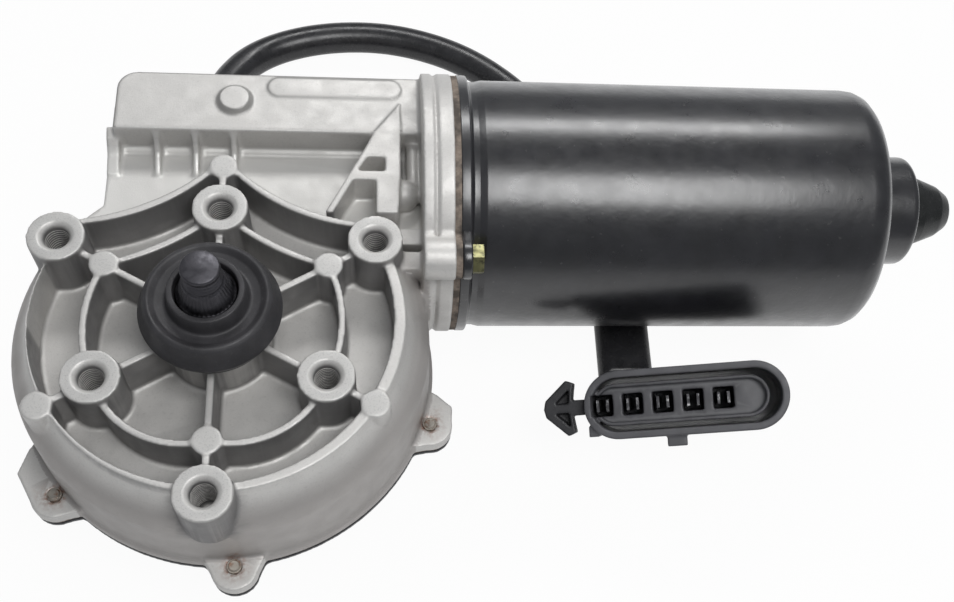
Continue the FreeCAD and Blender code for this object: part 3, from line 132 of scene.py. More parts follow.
def set_world():
    world = bpy.data.worlds.new("room")
    scene.world = world
    world.use_nodes = True
    tree = world.node_tree
    tree.nodes.clear()
    dim = tree.nodes.new("ShaderNodeBackground")
    dim.inputs["Color"].default_value = (0.9, 0.94, 1, 1)
    dim.inputs["Strength"].default_value = WORLD_LEVEL
    white = tree.nodes.new("ShaderNodeBackground")
    white.inputs["Color"].default_value = (1, 1, 1, 1)
    mix = tree.nodes.new("ShaderNodeMixShader")
    tree.links.new(seen_white(tree, WORLD_IN_GLOSS), mix.inputs[0])
    tree.links.new(dim.outputs[0], mix.inputs[1])
    tree.links.new(white.outputs[0], mix.inputs[2])
    tree.links.new(mix.outputs[0], tree.nodes.new("ShaderNodeOutputWorld").inputs[0])


def set_floor():
    mesh = bpy.data.meshes.new("floor")
    w = FLOOR_HALF
    mesh.from_pydata([(-w, -w, 0), (w, -w, 0), (w, w, 0), (-w, w, 0)], [], [(0, 1, 2, 3)])
    floor = bpy.data.objects.new("floor", mesh)
    floor.location = (*FLOOR_AT, TABLE_Z)
    scene.collection.objects.link(floor)
    made = bpy.data.materials.new("floor")
    made.use_nodes = True
    tree = made.node_tree
    tree.nodes.clear()
    matt = tree.nodes.new("ShaderNodeBsdfDiffuse")
    matt.inputs["Color"].default_value = (0.92, 0.92, 0.92, 1)
    glow = tree.nodes.new("ShaderNodeEmission")
    glow.inputs["Color"].default_value = (1, 1, 1, 1)
    place = tree.nodes.new("ShaderNodeTexCoord")
    reach = tree.nodes.new("ShaderNodeVectorMath")
    reach.operation = "LENGTH"
    tree.links.new(place.outputs["Object"], reach.inputs[0])
    near = tree.nodes.new("ShaderNodeMapRange")
    tree.links.new(reach.outputs["Value"], near.inputs[0])
    for index, size in enumerate(FLOOR_FADE, 1):
        near.inputs[index].default_value = size
    share = tree.nodes.new("ShaderNodeMath")
    share.operation = "MULTIPLY"
    share.inputs[1].default_value = FLOOR_WHITE
    mix = tree.nodes.new("ShaderNodeMixShader")
    tree.links.new(seen_white(tree, FLOOR_IN_GLOSS, near.outputs[0]), share.inputs[0])
    tree.links.new(share.outputs[0], mix.inputs[0])
    tree.links.new(matt.outputs[0], mix.inputs[1])
    tree.links.new(glow.outputs[0], mix.inputs[2])
    tree.links.new(mix.outputs[0], tree.nodes.new("ShaderNodeOutputMaterial").inputs[0])
    mesh.materials.append(made)


set_camera()
set_world()
set_floor()
lamp("key", (0.20, -0.28, 0.93), 1.0, 0.56, 0.42, 6.8)
lamp("rear", (0.12, 0.70, 0.71), 1.1, 0.80, 0.20, 8.6)


# ---------------------------------------------------------------- materials
class Finish:
    """A procedural material put together step by step on object coordinates."""

    def __init__(self, name, color, metallic=0.0, roughness=0.5, **extra):
        self.made = bpy.data.materials.new(name)
        self.made.use_nodes = True
        self.tree = self.made.node_tree
        self.tree.nodes.clear()
        self.shader = self.add("ShaderNodeBsdfPrincipled")
        self.shader.inputs["Metallic"].default_value = metallic
        self.shader.inputs["Roughness"].default_value = roughness
        for key, value in extra.items():
            self.shader.inputs[key.replace("_", " ")].default_value = value
        self.link(self.shader.outputs[0], self.add("ShaderNodeOutputMaterial").inputs[0])
        self.place = self.add("ShaderNodeTexCoord").outputs["Object"]
        self.color = self.add("ShaderNodeRGB").outputs[0]
        self.color.default_value = tuple(color) + (1,)
        self.rough = None
        self.normal = None

    def add(self, kind):
        return self.tree.nodes.new(kind)

    def link(self, a, b):
        self.tree.links.new(a, b)

    def noise(self, size_mm, detail=2.0, low=0.35, high=0.65):
        """Noise of about that grain size, spread from 0 to 1 between two levels."""
        made = self.add("ShaderNodeTexNoise")
        made.inputs["Scale"].default_value = 1 / (size_mm * MM)
        made.inputs["Detail"].default_value = detail
        self.link(self.place, made.inputs["Vector"])
        return self.spread(made.outputs["Fac"], low, high)

    def spread(self, value, low, high, a=0.0, b=1.0):
        """Values between low and high, drawn out to run from a to b."""
        made = self.add("ShaderNodeMapRange")
        self.link(value, made.inputs[0])
        for index, size in enumerate((low, high, a, b), 1):
            made.inputs[index].default_value = size
        return made.outputs[0]

    def attribute(self, name):
        made = self.add("ShaderNodeAttribute")
        made.attribute_name = name
        return made.outputs["Fac"]

    def times(self, a, b):
        made = self.add("ShaderNodeMath")
        made.operation = "MULTIPLY"
        for index, size in enumerate((a, b)):
            if isinstance(size, (int, float)):
                made.inputs[index].default_value = size
            else:
                self.link(size, made.inputs[index])
        return made.outputs[0]

    def tint(self, share, color, strength=1.0):
        """Mix another colour in where share is high."""
        made = self.add("ShaderNodeMix")
        made.data_type = "RGBA"
        self.link(self.times(share, strength), made.inputs[0])
        self.link(self.color, made.inputs[6])
        made.inputs[7].default_value = tuple(color) + (1,)
        self.color = made.outputs[2]
        return self

    def gloss(self, share, low, high):
        """Roughness from low to high with share."""
        self.rough = self.spread(share, 0, 1, low, high)
        return self

    def bump(self, height, depth_mm, strength):
        """Grain on the surface, added to the bumps that are there already."""
        made = self.add("ShaderNodeBump")
        made.inputs["Strength"].default_value = strength
        made.inputs["Distance"].default_value = depth_mm * MM
        self.link(height, made.inputs["Height"])
        if self.normal is not None:
            self.link(self.normal, made.inputs["Normal"])
        self.normal = made.outputs[0]
        return self

    def done(self):
        """Join the colour, roughness and bumps to the shader and give the material."""
        self.link(self.color, self.shader.inputs["Base Color"])
        if self.rough is not None:
            self.link(self.rough, self.shader.inputs["Roughness"])
        if self.normal is not None:
            self.link(self.normal, self.shader.inputs["Normal"])
        return self.made


def cast_metal():
    """Bare die-cast metal: light on top, with painted shade on its sides, pocket sides and hollows,
    and painted light between the webs.
    """
    made = Finish("cast_metal", (0.72, 0.705, 0.68), 0.40, 0.5)
    made.tint(made.noise(16, 3), (0.66, 0.65, 0.63), 0.5)
    made.tint(made.noise(0.5, 2, 0.50, 0.75), (0.80, 0.79, 0.77), 0.35)
    made.tint(made.noise(0.8, 2, 0.56, 0.8), (0.42, 0.415, 0.40), 0.28)
    # painted shade on the drum's outer side and behind the strip
    made.tint(made.attribute("flank_shade"), (0.40, 0.375, 0.36), 0.75)
    # painted light, lifting the shadow that the strip casts between the webs
    made.tint(made.attribute("plateau_light"), (0.86, 0.85, 0.82), 0.8)
    # painted shade on the inner sides of the pockets and bosses, less on the strip's front
    made.tint(made.attribute("wall_shade"), (0.15, 0.147, 0.15), 0.82)
    # painted shade in hollows and on the strip's sloping edges
    made.tint(made.attribute("hollow_shade"), (0.16, 0.155, 0.15), 0.7)
    made.tint(made.attribute("machined"), (0.60, 0.595, 0.58), 0.7)
    pits = made.times(made.attribute("machined"), made.noise(0.45, 2, 0.52, 0.72))
    made.tint(pits, (0.40, 0.40, 0.39), 0.55)
    made.tint(made.times(made.attribute("rust"), made.noise(1.1, 2)), (0.26, 0.12, 0.07), 0.75)
    made.gloss(made.noise(5, 2), 0.44, 0.58)
    made.bump(made.noise(3.2, 2), 0.05, 0.3)
    made.bump(made.noise(0.30, 2), 0.03, 0.4)
    return made.done()


def black_paint():
    """Thick glossy paint, a little wavy, with specks of dust."""
    made = Finish("black_paint", (0.010, 0.010, 0.012), 0.0, 0.22)
    made.shader.inputs["Coat Weight"].default_value = 0.9
    made.shader.inputs["Coat Roughness"].default_value = 0.24
    made.shader.inputs["Coat IOR"].default_value = 1.58
    made.tint(made.noise(9, 3), (0.018, 0.018, 0.022), 0.7)
    made.tint(made.noise(1.6, 2, 0.71, 0.75), (0.12, 0.118, 0.115), 0.25)
    made.gloss(made.noise(6, 3, 0.3, 0.7), 0.26, 0.42)
    made.bump(made.noise(5, 2), 0.09, 0.5)
    made.bump(made.noise(1.3, 2), 0.02, 0.6)
    return made.done()


def rubber(name, color, low, high):
    """Dusty rubber whose roughness runs from low to high."""
    made = Finish(name, color, 0.0, high)
    made.tint(made.noise(6, 3), tuple(c * 1.8 for c in color), 0.5)
    made.tint(made.noise(0.8, 2, 0.6, 0.85), (0.16, 0.16, 0.16), 0.25)
    made.gloss(made.noise(4, 2), low, high)
    made.bump(made.noise(0.7, 2), 0.02, 0.5)
    return made.done()


def plastic(name, color, low=0.38, high=0.55, deep=0.0):
    """Moulded plastic; deep is the grey of the painted light in its recesses, where there are any.
    """
    made = Finish(name, color, 0.0, 0.45)
    made.tint(made.noise(7, 3), tuple(c * 1.5 for c in color), 0.6)
    if deep:
        # painted light: a lighter grey laid into the recesses
        made.tint(made.attribute("deep"), (deep, deep, deep), 0.8)
    made.gloss(made.noise(3, 2), low, high)
    made.bump(made.noise(0.35, 2), 0.015, 0.6)
    return made.done()


def metal(name, color, roughness, stain=None, grain=0.4):
    """Bare or plated metal, with stains of another colour if one is given."""
    made = Finish(name, color, 1.0, roughness)
    made.tint(made.noise(3, 3), tuple(c * 0.7 for c in color), 0.5)
    if stain:
        made.tint(made.noise(1.3, 3, 0.5, 0.7), stain, 0.8)
    made.gloss(made.noise(2, 2), roughness * 0.8, roughness * 1.3)
    made.bump(made.noise(grain, 2), 0.01, 0.5)
    return made.done()


def fibre():
    made = Finish("gasket_fibre", (0.24, 0.19, 0.155), 0.0, 0.85)
    made.tint(made.noise(0.9, 3), (0.40, 0.34, 0.28), 0.5)
    made.tint(made.noise(4, 3, 0.42, 0.62), (0.05, 0.045, 0.04), 0.8)
    made.bump(made.noise(0.5, 2), 0.05, 0.6)
    return made.done()


FINISHES = {
    "cast": cast_metal(), "paint": black_paint(), "fibre": fibre(),
    "seal": rubber("seal_rubber", (0.036, 0.035, 0.038), 0.42, 0.60),
    "cap": rubber("cap_rubber", (0.014, 0.015, 0.015), 0.22, 0.36),
    "jacket": rubber("cable_jacket", (0.022, 0.022, 0.024), 0.22, 0.34),
    "plug": plastic("plug_plastic", (0.086, 0.086, 0.093), deep=0.8),
    "clip": plastic("clip_plastic", (0.030, 0.030, 0.033)),
    "blade": metal("blade_tin", (0.10, 0.10, 0.105), 0.5, (0.55, 0.55, 0.55), 0.3),
    "shaft": metal("shaft_black", (0.115, 0.113, 0.125), 0.45),
    "zinc": metal("screw_zinc", (0.58, 0.54, 0.48), 0.38, (0.28, 0.12, 0.06)),
    "yellow": metal("screw_yellow", (0.30, 0.29, 0.15), 0.4, (0.06, 0.06, 0.05)),
    "bright": metal("bright_steel", (0.62, 0.62, 0.62), 0.28),
    "bronze": metal("bronze", (0.56, 0.38, 0.20), 0.45),
    "copper": metal("copper", (0.70, 0.36, 0.22), 0.35),
    "core": metal("core_steel", (0.20, 0.20, 0.21), 0.5),
    "ferrite": plastic("ferrite", (0.06, 0.06, 0.065), 0.6, 0.75),
    "board": plastic("board", (0.20, 0.11, 0.05), 0.5, 0.7),
    "carbon": plastic("carbon", (0.03, 0.03, 0.03), 0.45, 0.6),
    "nylon": plastic("nylon", (0.72, 0.70, 0.62), 0.35, 0.5),
}
WEARS = {
    "cast": "gear_housing", "paint": "gear_cover yoke", "fibre": "cover_gasket yoke_gasket",
    "seal": "shaft_seal cable_grommet", "cap": "end_cap", "jacket": "cable cable_sleeve",
    "plug": "plug_housing plug_clip plug_rear", "blade": "plug_blades", "shaft": "output_shaft",
    "zinc": "cover_screws", "yellow": "yoke_screws", "bronze": "output_shaft_bushes rear_bush",
    "bright": "magnet_clips bearing_outer_race bearing_inner_race bearing_balls thrust_screw"
              " thrust_ball brush_springs park_fingers armature_shaft wheel_hub shaft_washer"
              " shaft_circlip",
    "copper": "armature_windings commutator park_ring", "core": "armature_stack",
    "ferrite": "magnet_upper magnet_lower", "board": "brush_plate brush_holders park_plate",
    "carbon": "brushes", "nylon": "worm_wheel"}
for finish, names in WEARS.items():
    for name in names.split():
        node = nodes[name]
        if not node.material_slots:
            node.data.materials.append(FINISHES[finish])
        for slot in node.material_slots:
            slot.material = FINISHES[finish]


# ---------------------------------------------------------------- mesh helpers
def add_piece(name, mesh, finish, body, slot, *stands_for):
    """Put a finished mesh on its body, in place of the nodes it stands for."""
    piece = bpy.data.objects.new(name, mesh)
    scene.collection.objects.link(piece)
    if finish:
        mesh.materials.clear()
        mesh.materials.append(FINISHES[finish])
    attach(piece, body)
    if stands_for:
        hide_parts(*stands_for)
    return piece


def baked(piece):
    """The piece's evaluated mesh as a plain mesh; the working object is dropped."""
    bpy.context.view_layer.update()
    graph = bpy.context.evaluated_depsgraph_get()
    mesh = bpy.data.meshes.new_from_object(piece.evaluated_get(graph))
    bpy.data.objects.remove(piece)
    return mesh


def read(items, key, width, kind=np.float64):
    """One property of every vertex or edge as an array."""
    flat = np.empty(len(items) * width, kind)
    items.foreach_get(key, flat)
    return flat.reshape(-1, width) if width > 1 else flat


def neighbours(mesh):
    """A function that averages any vertex values over each vertex's neighbours."""
    a, b = read(mesh.edges, "vertices", 2, np.int32).T
    size = len(mesh.vertices)
    count = np.maximum(np.bincount(a, minlength=size) + np.bincount(b, minlength=size), 1)

    def mean(values):
        total = [np.bincount(a, v[b], size) + np.bincount(b, v[a], size) for v in values.T]
        return np.stack(total, 1) / count[:, None]

    return mean


PIECE_TRIANGLES = 190000
CREVICE_STEPS = 80


def softened(node, voxel, fillet, convex, steps=0, budget=PIECE_TRIANGLES, crevice=None):
    """A copy of a solid whose inner corners get fillets and whose outer edges are eased.

    convex says how often the outer edges are eased, steps how often the inner corners are
    filled, and crevice is the middle and the radius of a place that is filled right up.
    """
    rough = bpy.data.objects.new("rough", nodes[node].data.copy())
    scene.collection.objects.link(rough)
    solid = rough.modifiers.new("solid", "REMESH")
    solid.mode, solid.voxel_size, solid.adaptivity = "VOXEL", voxel, 0
    mesh = baked(rough)
    mean = neighbours(mesh)
    spots = read(mesh.vertices, "co", 3)
    for step in range(convex):
        spots += (mean(spots) - spots) * 0.6
    least = voxel * voxel / (4 * fillet)
    for step in range(steps):
        if step % 5 == 0:
            mesh.vertices.foreach_set("co", spots.ravel())
            mesh.update()
            normals = read(mesh.vertex_normals, "vector", 3)
        rise = ((mean(spots) - spots) * normals).sum(1)
        spots += normals * (np.where(rise > least, rise, 0) * 0.9)[:, None]
    if crevice:
        near = np.linalg.norm(spots - np.array(crevice[:3]), axis=1) < crevice[3]
        for step in range(CREVICE_STEPS):
            rise = ((mean(spots) - spots) * normals).sum(1)
            spots += normals * (np.where((rise > 0) & near, rise, 0) * 0.9)[:, None]
    spots += (mean(spots) - spots) * 0.5
    mesh.vertices.foreach_set("co", spots.ravel())
    mesh.update()
    triangles = sum(len(p.vertices) - 2 for p in mesh.polygons)
    if triangles > budget:
        rough = bpy.data.objects.new("rough", mesh)
        scene.collection.objects.link(rough)
        rough.modifiers.new("fewer", "DECIMATE").ratio = budget / triangles
        mesh = baked(rough)
    mesh.shade_smooth()
    return mesh


def paint_attribute(mesh, name, values):
    """Store a share from 0 to 1 on each vertex, for the materials to read."""
    attribute = mesh.attributes.new(name, "FLOAT", "POINT")
    attribute.data.foreach_set("value", np.clip(values, 0, 1).astype(np.float32))


CORNER_STEPS = 5


def eased(profile, radii):
    """Round the corners of an open profile; each corner has its own radius."""
    points = [Vector(p) for p in profile]
    made = [points[0]]
    for before, corner, after, radius in zip(points, points[1:], points[2:], radii):
        come, leave = (before - corner), (after - corner)
        if radius <= 0:
            made.append(corner)
            continue
        half = come.angle(leave) / 2
        reach = min(radius / math.tan(half), come.length * 0.48, leave.length * 0.48)
        start, end = corner + come.normalized() * reach, corner + leave.normalized() * reach
        for step in range(CORNER_STEPS + 1):
            t = step / CORNER_STEPS
            made.append(start * (1 - t) ** 2 + corner * (2 * t * (1 - t)) + end * t * t)
    return [tuple(point) for point in made + [points[-1]]]


def lathe(name, profile, place, around, radius_at=None):
    """Turn a profile of (radius, height); place maps (radius, angle, height) to a point."""
    spots, faces = [], []
    rows = len(profile)
    for row, (radius, height) in enumerate(profile):
        for step in range(around):
            turn = 2 * math.pi * step / around
            here = radius_at(radius, turn, height) if radius_at else radius
            spots.append(place(here, turn, height))
    for row in range(rows - 1):
        for step in range(around):
            a, b = row * around + step, row * around + (step + 1) % around
            faces.append((a, b, b + around, a + around))
    mesh = bpy.data.meshes.new(name)
    mesh.from_pydata(spots, [], faces)
    mesh.validate()
    work = bmesh.new()
    work.from_mesh(mesh)
    bmesh.ops.remove_doubles(work, verts=work.verts, dist=1e-7)
    bmesh.ops.holes_fill(work, edges=work.edges, sides=0)
    bmesh.ops.recalc_face_normals(work, faces=work.faces)
    work.to_mesh(mesh)
    work.free()
    mesh.shade_smooth()
    return mesh


# ---------------------------------------------------------------- the cable
CABLE_DIAMETER = 9.5 * MM
# Each point of the cable's run: its place in mm and how much thicker the cable is drawn there.
CABLE_POINTS = [(-16, 84, -58, 1), (-15.5, 105, -58, 1.1), (-11, 129, -64, 1.18),
                (1, 147.5, -68.3, 1.18), (25, 156.0, -68.3, 1.18), (53, 156.0, -68.3, 1.18),
                (81, 145, -68.3, 1.18), (105, 122, -68.8, 1.08), (121, 93, -69.2, 1),
                (127, 61, -69.2, 1), (127, 36, -69.2, 1)]


def make_cable(with_pieces):
    """The cable's loop from the cover's rear to the connector."""
    curve = bpy.data.curves.new("cable_run", "CURVE")
    curve.dimensions = "3D"
    spline = curve.splines.new("NURBS")
    spline.points.add(len(CABLE_POINTS) - 1)
    for point, spot in zip(spline.points, CABLE_POINTS):
        point.co = [c * MM for c in spot[:3]] + [1]
        point.radius = spot[3]
    spline.order_u = 3
    spline.use_endpoint_u = True
    spline.resolution_u = 14
    curve.bevel_depth = CABLE_DIAMETER / 2
    curve.bevel_resolution = 7
    curve.use_fill_caps = True
    curve.materials.append(FINISHES["jacket"])
    piece = bpy.data.objects.new("cable_run", curve)
    scene.collection.objects.link(piece)
    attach(piece, "housing")
    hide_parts("cable")
    [c * MM for c in CABLE_POINTS[0][:3]]


# ---------------------------------------------------------------- the casting
BOSS_CIRCLES = ((50, 30), (35, 90))         # radius in mm, first boss's angle in degrees
BOSS_REACH = 8.6
PAD_TOP = -1.6
STAR_X, STAR_R = 1.0, 49.3                  # the ribbed face inside the drum's rim
DRUM_X, DRUM_Y, FLANK_R, LUG_R = 1.4, 1.0, 49, 59.2
DRUM_BACK_Y, STRIP_BACK_Y = 36, 84.6
STRIP_FRONT_Y, STRIP_TOP, PLATEAU_Z = 64, -4.7, -13
CREVICE = (0.0562, 0.0185, -0.0155, 0.0065)  # between the drum's side and the flange, in m


def on_top(normals, z, level):
    """1 where a vertex lies on a level top face."""
    return (normals[:, 2] > 0.96) * (abs(z - level) < 0.25)


def boss_places():
    """The six bosses' axes in mm."""
    for circle, first in BOSS_CIRCLES:
        for turn in (math.radians(first + 120 * step) for step in range(3)):
            yield circle * math.cos(turn), circle * math.sin(turn)


def screw_tips():
    """The places of the cover screws, from the tops of their solids."""
    spots = read(nodes["cover_screws"].data.vertices, "co", 3)
    tops = spots[spots[:, 2] > spots[:, 2].max() - 0.01 * MM]
    found = []
    for spot in tops:
        for group in found:
            if np.linalg.norm(group[0][:2] - spot[:2]) < 6 * MM:
                group.append(spot)
                break
        else:
            found.append([spot])
    return [np.mean(group, 0) for group in found]


def make_casting():
    """The gear housing, with shares on its vertices that its material reads: machined tops, rust,
    and painted shade and painted light.
    """
    mesh = softened("gear_housing", 0.46 * MM, 1.1 * MM, 1, 30, crevice=CREVICE)
    spots, normals = read(mesh.vertices, "co", 3), read(mesh.vertex_normals, "vector", 3)
    mean = neighbours(mesh)
    x, y, z = (spots / MM).T
    up = normals[:, 2]

    # painted shade: darker in hollows, more so further down, and on the sloping edges of the
    # strip's top
    hollow = ((mean(spots) - spots) * normals).sum(1)[:, None] / (0.1 * MM)
    for step in range(4):
        hollow = mean(np.clip(hollow, -0.2, 1))
    depth = np.clip((-z - 3) / 12, 0.25, 1)
    strip_rims = (np.clip((0.985 - up) / 0.1, 0, 0.75)
                  * (z > STRIP_TOP) * (y > STRIP_FRONT_Y + 0.8) * (x < 56))
    paint_attribute(mesh, "hollow_shade", np.maximum(hollow[:, 0] * depth, strip_rims))

    flat = on_top(normals, z, 0) + on_top(normals, z, PAD_TOP) * 0.8
    paint_attribute(mesh, "machined", mean(flat.astype(float)[:, None])[:, 0])

    # painted shade: the drum's steep outer side below the rim, half as much behind the strip's back
    from_drum = np.hypot(x - DRUM_X, y - DRUM_Y)
    flank_shade = (np.clip((from_drum - FLANK_R) / 4, 0, 1) * np.clip((-6 - z) / 6, 0, 1)
             * (y < DRUM_BACK_Y) * (from_drum < LUG_R))
    paint_attribute(mesh, "flank_shade", np.maximum(flank_shade, (y > STRIP_BACK_Y) * 0.5))

    # painted light on the level ground between the webs, where the strip's shadow falls
    plateau_light = (abs(z - PLATEAU_Z) < 2.6) * (y > 20) * (y < 66) * (x > -36) * (x < 57) * (up > 0.3)
    paint_attribute(mesh, "plateau_light", plateau_light)

    # painted shade on the steep sides inside the ribbed face and bosses, a quarter as much on the
    # strip's front
    steep = np.clip((0.75 - abs(up)) / 0.3, 0, 1)
    inside = (np.hypot(x - STAR_X, y) < STAR_R) * (z > -16.3) * (z < -1.0)
    for boss_x, boss_y in boss_places():
        inside |= (np.hypot(x - boss_x, y - boss_y) < BOSS_REACH) * (z > -18) * (z < -0.6)
    front = (abs(y - STRIP_FRONT_Y) < 2.2) * (z > -14) * (z < -4.6) * (x < 50)
    wall_shade = (steep * (inside * 1.0 + front * ~inside * 0.26))[:, None]
    for step in range(2):
        wall_shade = mean(wall_shade)
    paint_attribute(mesh, "wall_shade", wall_shade[:, 0])

    rust = np.zeros(len(spots))
    for tip in screw_tips():
        reach = np.hypot(spots[:, 0] - tip[0], spots[:, 1] - tip[1]) / MM
        rust = np.maximum(rust, np.clip(1.35 - abs(reach - 2.2) / 1.1, 0, 1) * (z < -30))
    paint_attribute(mesh, "rust", rust)
    add_piece("casting", mesh, "cast", "housing", "cast_housing", "gear_housing")


# ---------------------------------------------------------------- the yoke
CAP_LOW, CAP_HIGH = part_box("end_cap")
AXIS_Y, AXIS_Z = (CAP_LOW.y + CAP_HIGH.y) / 2, (CAP_LOW.z + CAP_HIGH.z) / 2
YOKE_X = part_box("yoke")[0].x
EAR_TURN = -35.5                            # degrees
EAR_OUT, EAR_R, EAR_THICK = 42.0, 5.9, 2.85
EAR_FOOT_OUT, EAR_FOOT_HALF = 33.0, 9.2
EAR_EDGE_R = 0.6


def along_x(start):
    """Place lathe points round the armature's axis, height towards +X from start."""
    def place(radius, turn, height):
        return (start + height * MM, AXIS_Y + radius * MM * math.cos(turn),
                AXIS_Z + radius * MM * math.sin(turn))
    return place


def along_z(radius, turn, height):
    """Place lathe points round the output shaft."""
    return (radius * MM * math.cos(turn), radius * MM * math.sin(turn), height * MM)


def make_yoke():
    """The drawn cup with its rolled rim and its bearing neck, outside first, then inside."""
    profile = eased([(35.2, 0.02), (39.4, 0.02), (39.4, 2.95), (37.4, 3.5), (37.5, 5.4),
                     (38.0, 7.4), (38.0, 130.0), (18.4, 130.0), (17.4, 130.8), (17.4, 146.4),
                     (12.4, 146.4), (12.4, 146.95), (0.001, 146.95), (0.001, 144.2),
                     (7.5, 144.2), (7.5, 127.2), (35.2, 127.2), (35.2, 0.3)],
                    [0.3, 0.9, 0.8, 1.2, 2.0, 8.0, 1.0, 1.0, 2.6, 0.3, 0.2, 0, 0, 0, 0.6, 6.0, 0])
    profile.append(profile[0])
    mesh = lathe("yoke_shell", profile, along_x(YOKE_X), 176)
    add_piece("yoke_shell", mesh, "paint", "housing", "yoke_paint", "yoke")


def make_ears():
    """The yoke's two ears: rounded plates with eased edges."""
    for index, side in enumerate((180, 0)):
        angle = math.radians(side + EAR_TURN)
        out = Vector((math.cos(angle), math.sin(angle)))
        across = Vector((-out.y, out.x))
        corners = [out * EAR_FOOT_OUT - across * EAR_FOOT_HALF]
        for step in range(13):
            turn = math.radians(-80 + 160 * step / 12)
            corners.append(out * EAR_OUT + (out * math.cos(turn) + across * math.sin(turn)) * EAR_R)
        corners.append(out * EAR_FOOT_OUT + across * EAR_FOOT_HALF)
        work = bmesh.new()
        ring = [work.verts.new((YOKE_X + 0.05 * MM, AXIS_Y + c.x * MM, AXIS_Z + c.y * MM))
                for c in corners]
        face = work.faces.new(ring)
        grown = bmesh.ops.extrude_face_region(work, geom=[face])
        for item in grown["geom"]:
            if isinstance(item, bmesh.types.BMVert):
                item.co.x += EAR_THICK * MM
        bmesh.ops.recalc_face_normals(work, faces=work.faces)
        edges = [e for e in work.edges if e.calc_face_angle(0) > 0.6]
        bmesh.ops.bevel(work, geom=edges, offset=EAR_EDGE_R * MM, segments=3, affect="EDGES",
                        profile=0.5)
        mesh = bpy.data.meshes.new("ear")
        work.to_mesh(mesh)
        work.free()
        mesh.shade_smooth()
        add_piece("yoke_ear_%d" % (index + 1), mesh, "paint", "housing", "yoke_paint")


def make_cap():
    """The rubber nipple on the end of the yoke's neck."""
    profile = eased([(0.001, 0.0), (11.8, 0.0), (11.8, 1.0), (11.2, 1.6), (10.7, 4.2), (8.3, 10.6),
                     (5.4, 14.75), (0.001, 14.78)], [0.3, 0.5, 0.6, 1.5, 4.0, 2.2])
    mesh = lathe("cap_rubber", profile, along_x(CAP_LOW.x), 96)
    add_piece("nipple", mesh, "cap", "housing", "cap_rubber", "end_cap")


# ---------------------------------------------------------------- seal and output shaft
def make_seal():
    """The rubber seal: its skirt over the hub, its crest and the lip round the shaft."""
    profile = eased([(14.53, -1.85), (16.1, -1.85), (16.2, 3.65), (18.6, 3.65), (18.85, 5.0),
                     (16.6, 11.0), (15.4, 12.0), (13.6, 10.5), (10.8, 10.0), (10.15, 14.0),
                     (9.9, 15.35), (8.35, 15.35), (8.3, 4.45), (12.9, 4.45), (12.9, 1.05),
                     (14.53, 1.05)],
                    [0.3, 0.8, 0.7, 0.9, 1.4, 1.0, 1.4, 1.0, 0.8, 0.5, 0.5, 0.4, 0.3, 0.3, 0.3])
    profile.append(profile[0])
    mesh = lathe("seal_skirt", profile, along_z, 144)
    add_piece("seal_skirt", mesh, "seal", "housing", "seal_rubber", "shaft_seal")


THREAD_PITCH, THREAD_DEPTH = 1.5, 0.45
THREAD_LOW, THREAD_HIGH = 20.4, 25.0
SPLINES, SPLINE_DEPTH = 40, 0.12
CONE_LOW, CONE_HIGH = 14.0, 20.0


def make_shaft():
    """The output shaft with its splined cone and threaded end."""
    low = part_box("output_shaft")[0].z / MM
    rows = [(7.4, low), (7.78, low + 0.4), (7.78, 1.95), (7.1, 2.0), (7.1, 3.2), (7.78, 3.25)]
    rows += [(7.78, 13.7), (7.5, 13.95)]
    rows += [(7.48 - 2.0 * step / 8, CONE_LOW + 6.0 * step / 8) for step in range(9)]
    rows += [(4.8, 20.25)]
    rows += [(5.12, THREAD_LOW + 4.6 * step / 46) for step in range(47)]
    rows += [(5.1, 25.4), (5.05, 25.9), (4.8, 26.25), (4.6, 26.36), (0.001, 26.38)]

    def worked(radius, turn, height):
        if CONE_LOW <= height <= CONE_HIGH:
            return radius - SPLINE_DEPTH * abs(((turn * SPLINES / (2 * math.pi)) % 1) * 2 - 1)
        if THREAD_LOW <= height <= THREAD_HIGH:
            phase = ((height / THREAD_PITCH) - turn / (2 * math.pi)) % 1
            fade = min(1, (25.2 - height) / 1.2, (height - 20.2) / 0.6)
            return radius - THREAD_DEPTH * (1 - abs(phase * 2 - 1)) * max(fade, 0)
        return radius

    mesh = lathe("shaft_turned", rows, along_z, 240, worked)
    add_piece("shaft_turned", mesh, "shaft", "output", "shaft_steel", "output_shaft")


# ---------------------------------------------------------------- repeats by node trees
class Tree:
    """A geometry node tree with named inputs that grows one shape on points, in one finish."""

    def __init__(self, name, sizes):
        self.tree = bpy.data.node_groups.new(name, "GeometryNodeTree")
        for way in ("INPUT", "OUTPUT"):
            self.tree.interface.new_socket("Geometry", in_out=way,
                                           socket_type="NodeSocketGeometry")
        self.sizes = sizes
        for label in sizes:
            self.tree.interface.new_socket(label, in_out="INPUT", socket_type="NodeSocketFloat")
        self.given = self.node("NodeGroupInput")

    def node(self, kind):
        return self.tree.nodes.new(kind)

    def wire(self, source, socket):
        self.tree.links.new(source, socket)

    def grown(self, name, places, shape, finish):
        """The shape on every place, as a plain mesh."""
        put = self.node("GeometryNodeInstanceOnPoints")
        real = self.node("GeometryNodeRealizeInstances")
        wear = self.node("GeometryNodeSetMaterial")
        wear.inputs["Material"].default_value = FINISHES[finish]
        out = self.node("NodeGroupOutput")
        self.wire(self.given.outputs[0], put.inputs["Points"])
        self.wire(shape, put.inputs["Instance"])
        self.wire(put.outputs[0], real.inputs[0])
        self.wire(real.outputs[0], wear.inputs[0])
        self.wire(wear.outputs[0], out.inputs[0])
        mesh = bpy.data.meshes.new(name)
        mesh.from_pydata(places, [], [])
        piece = bpy.data.objects.new(name, mesh)
        scene.collection.objects.link(piece)
        grow = piece.modifiers.new("grow", "NODES")
        grow.node_group = self.tree
        for item in self.tree.interface.items_tree:
            if item.in_out == "INPUT" and item.name in self.sizes:
                grow[item.identifier] = self.sizes[item.name]
        return baked(piece)


BOSS_BORE_LOW = -15.6
TIP_SINK = 0.35


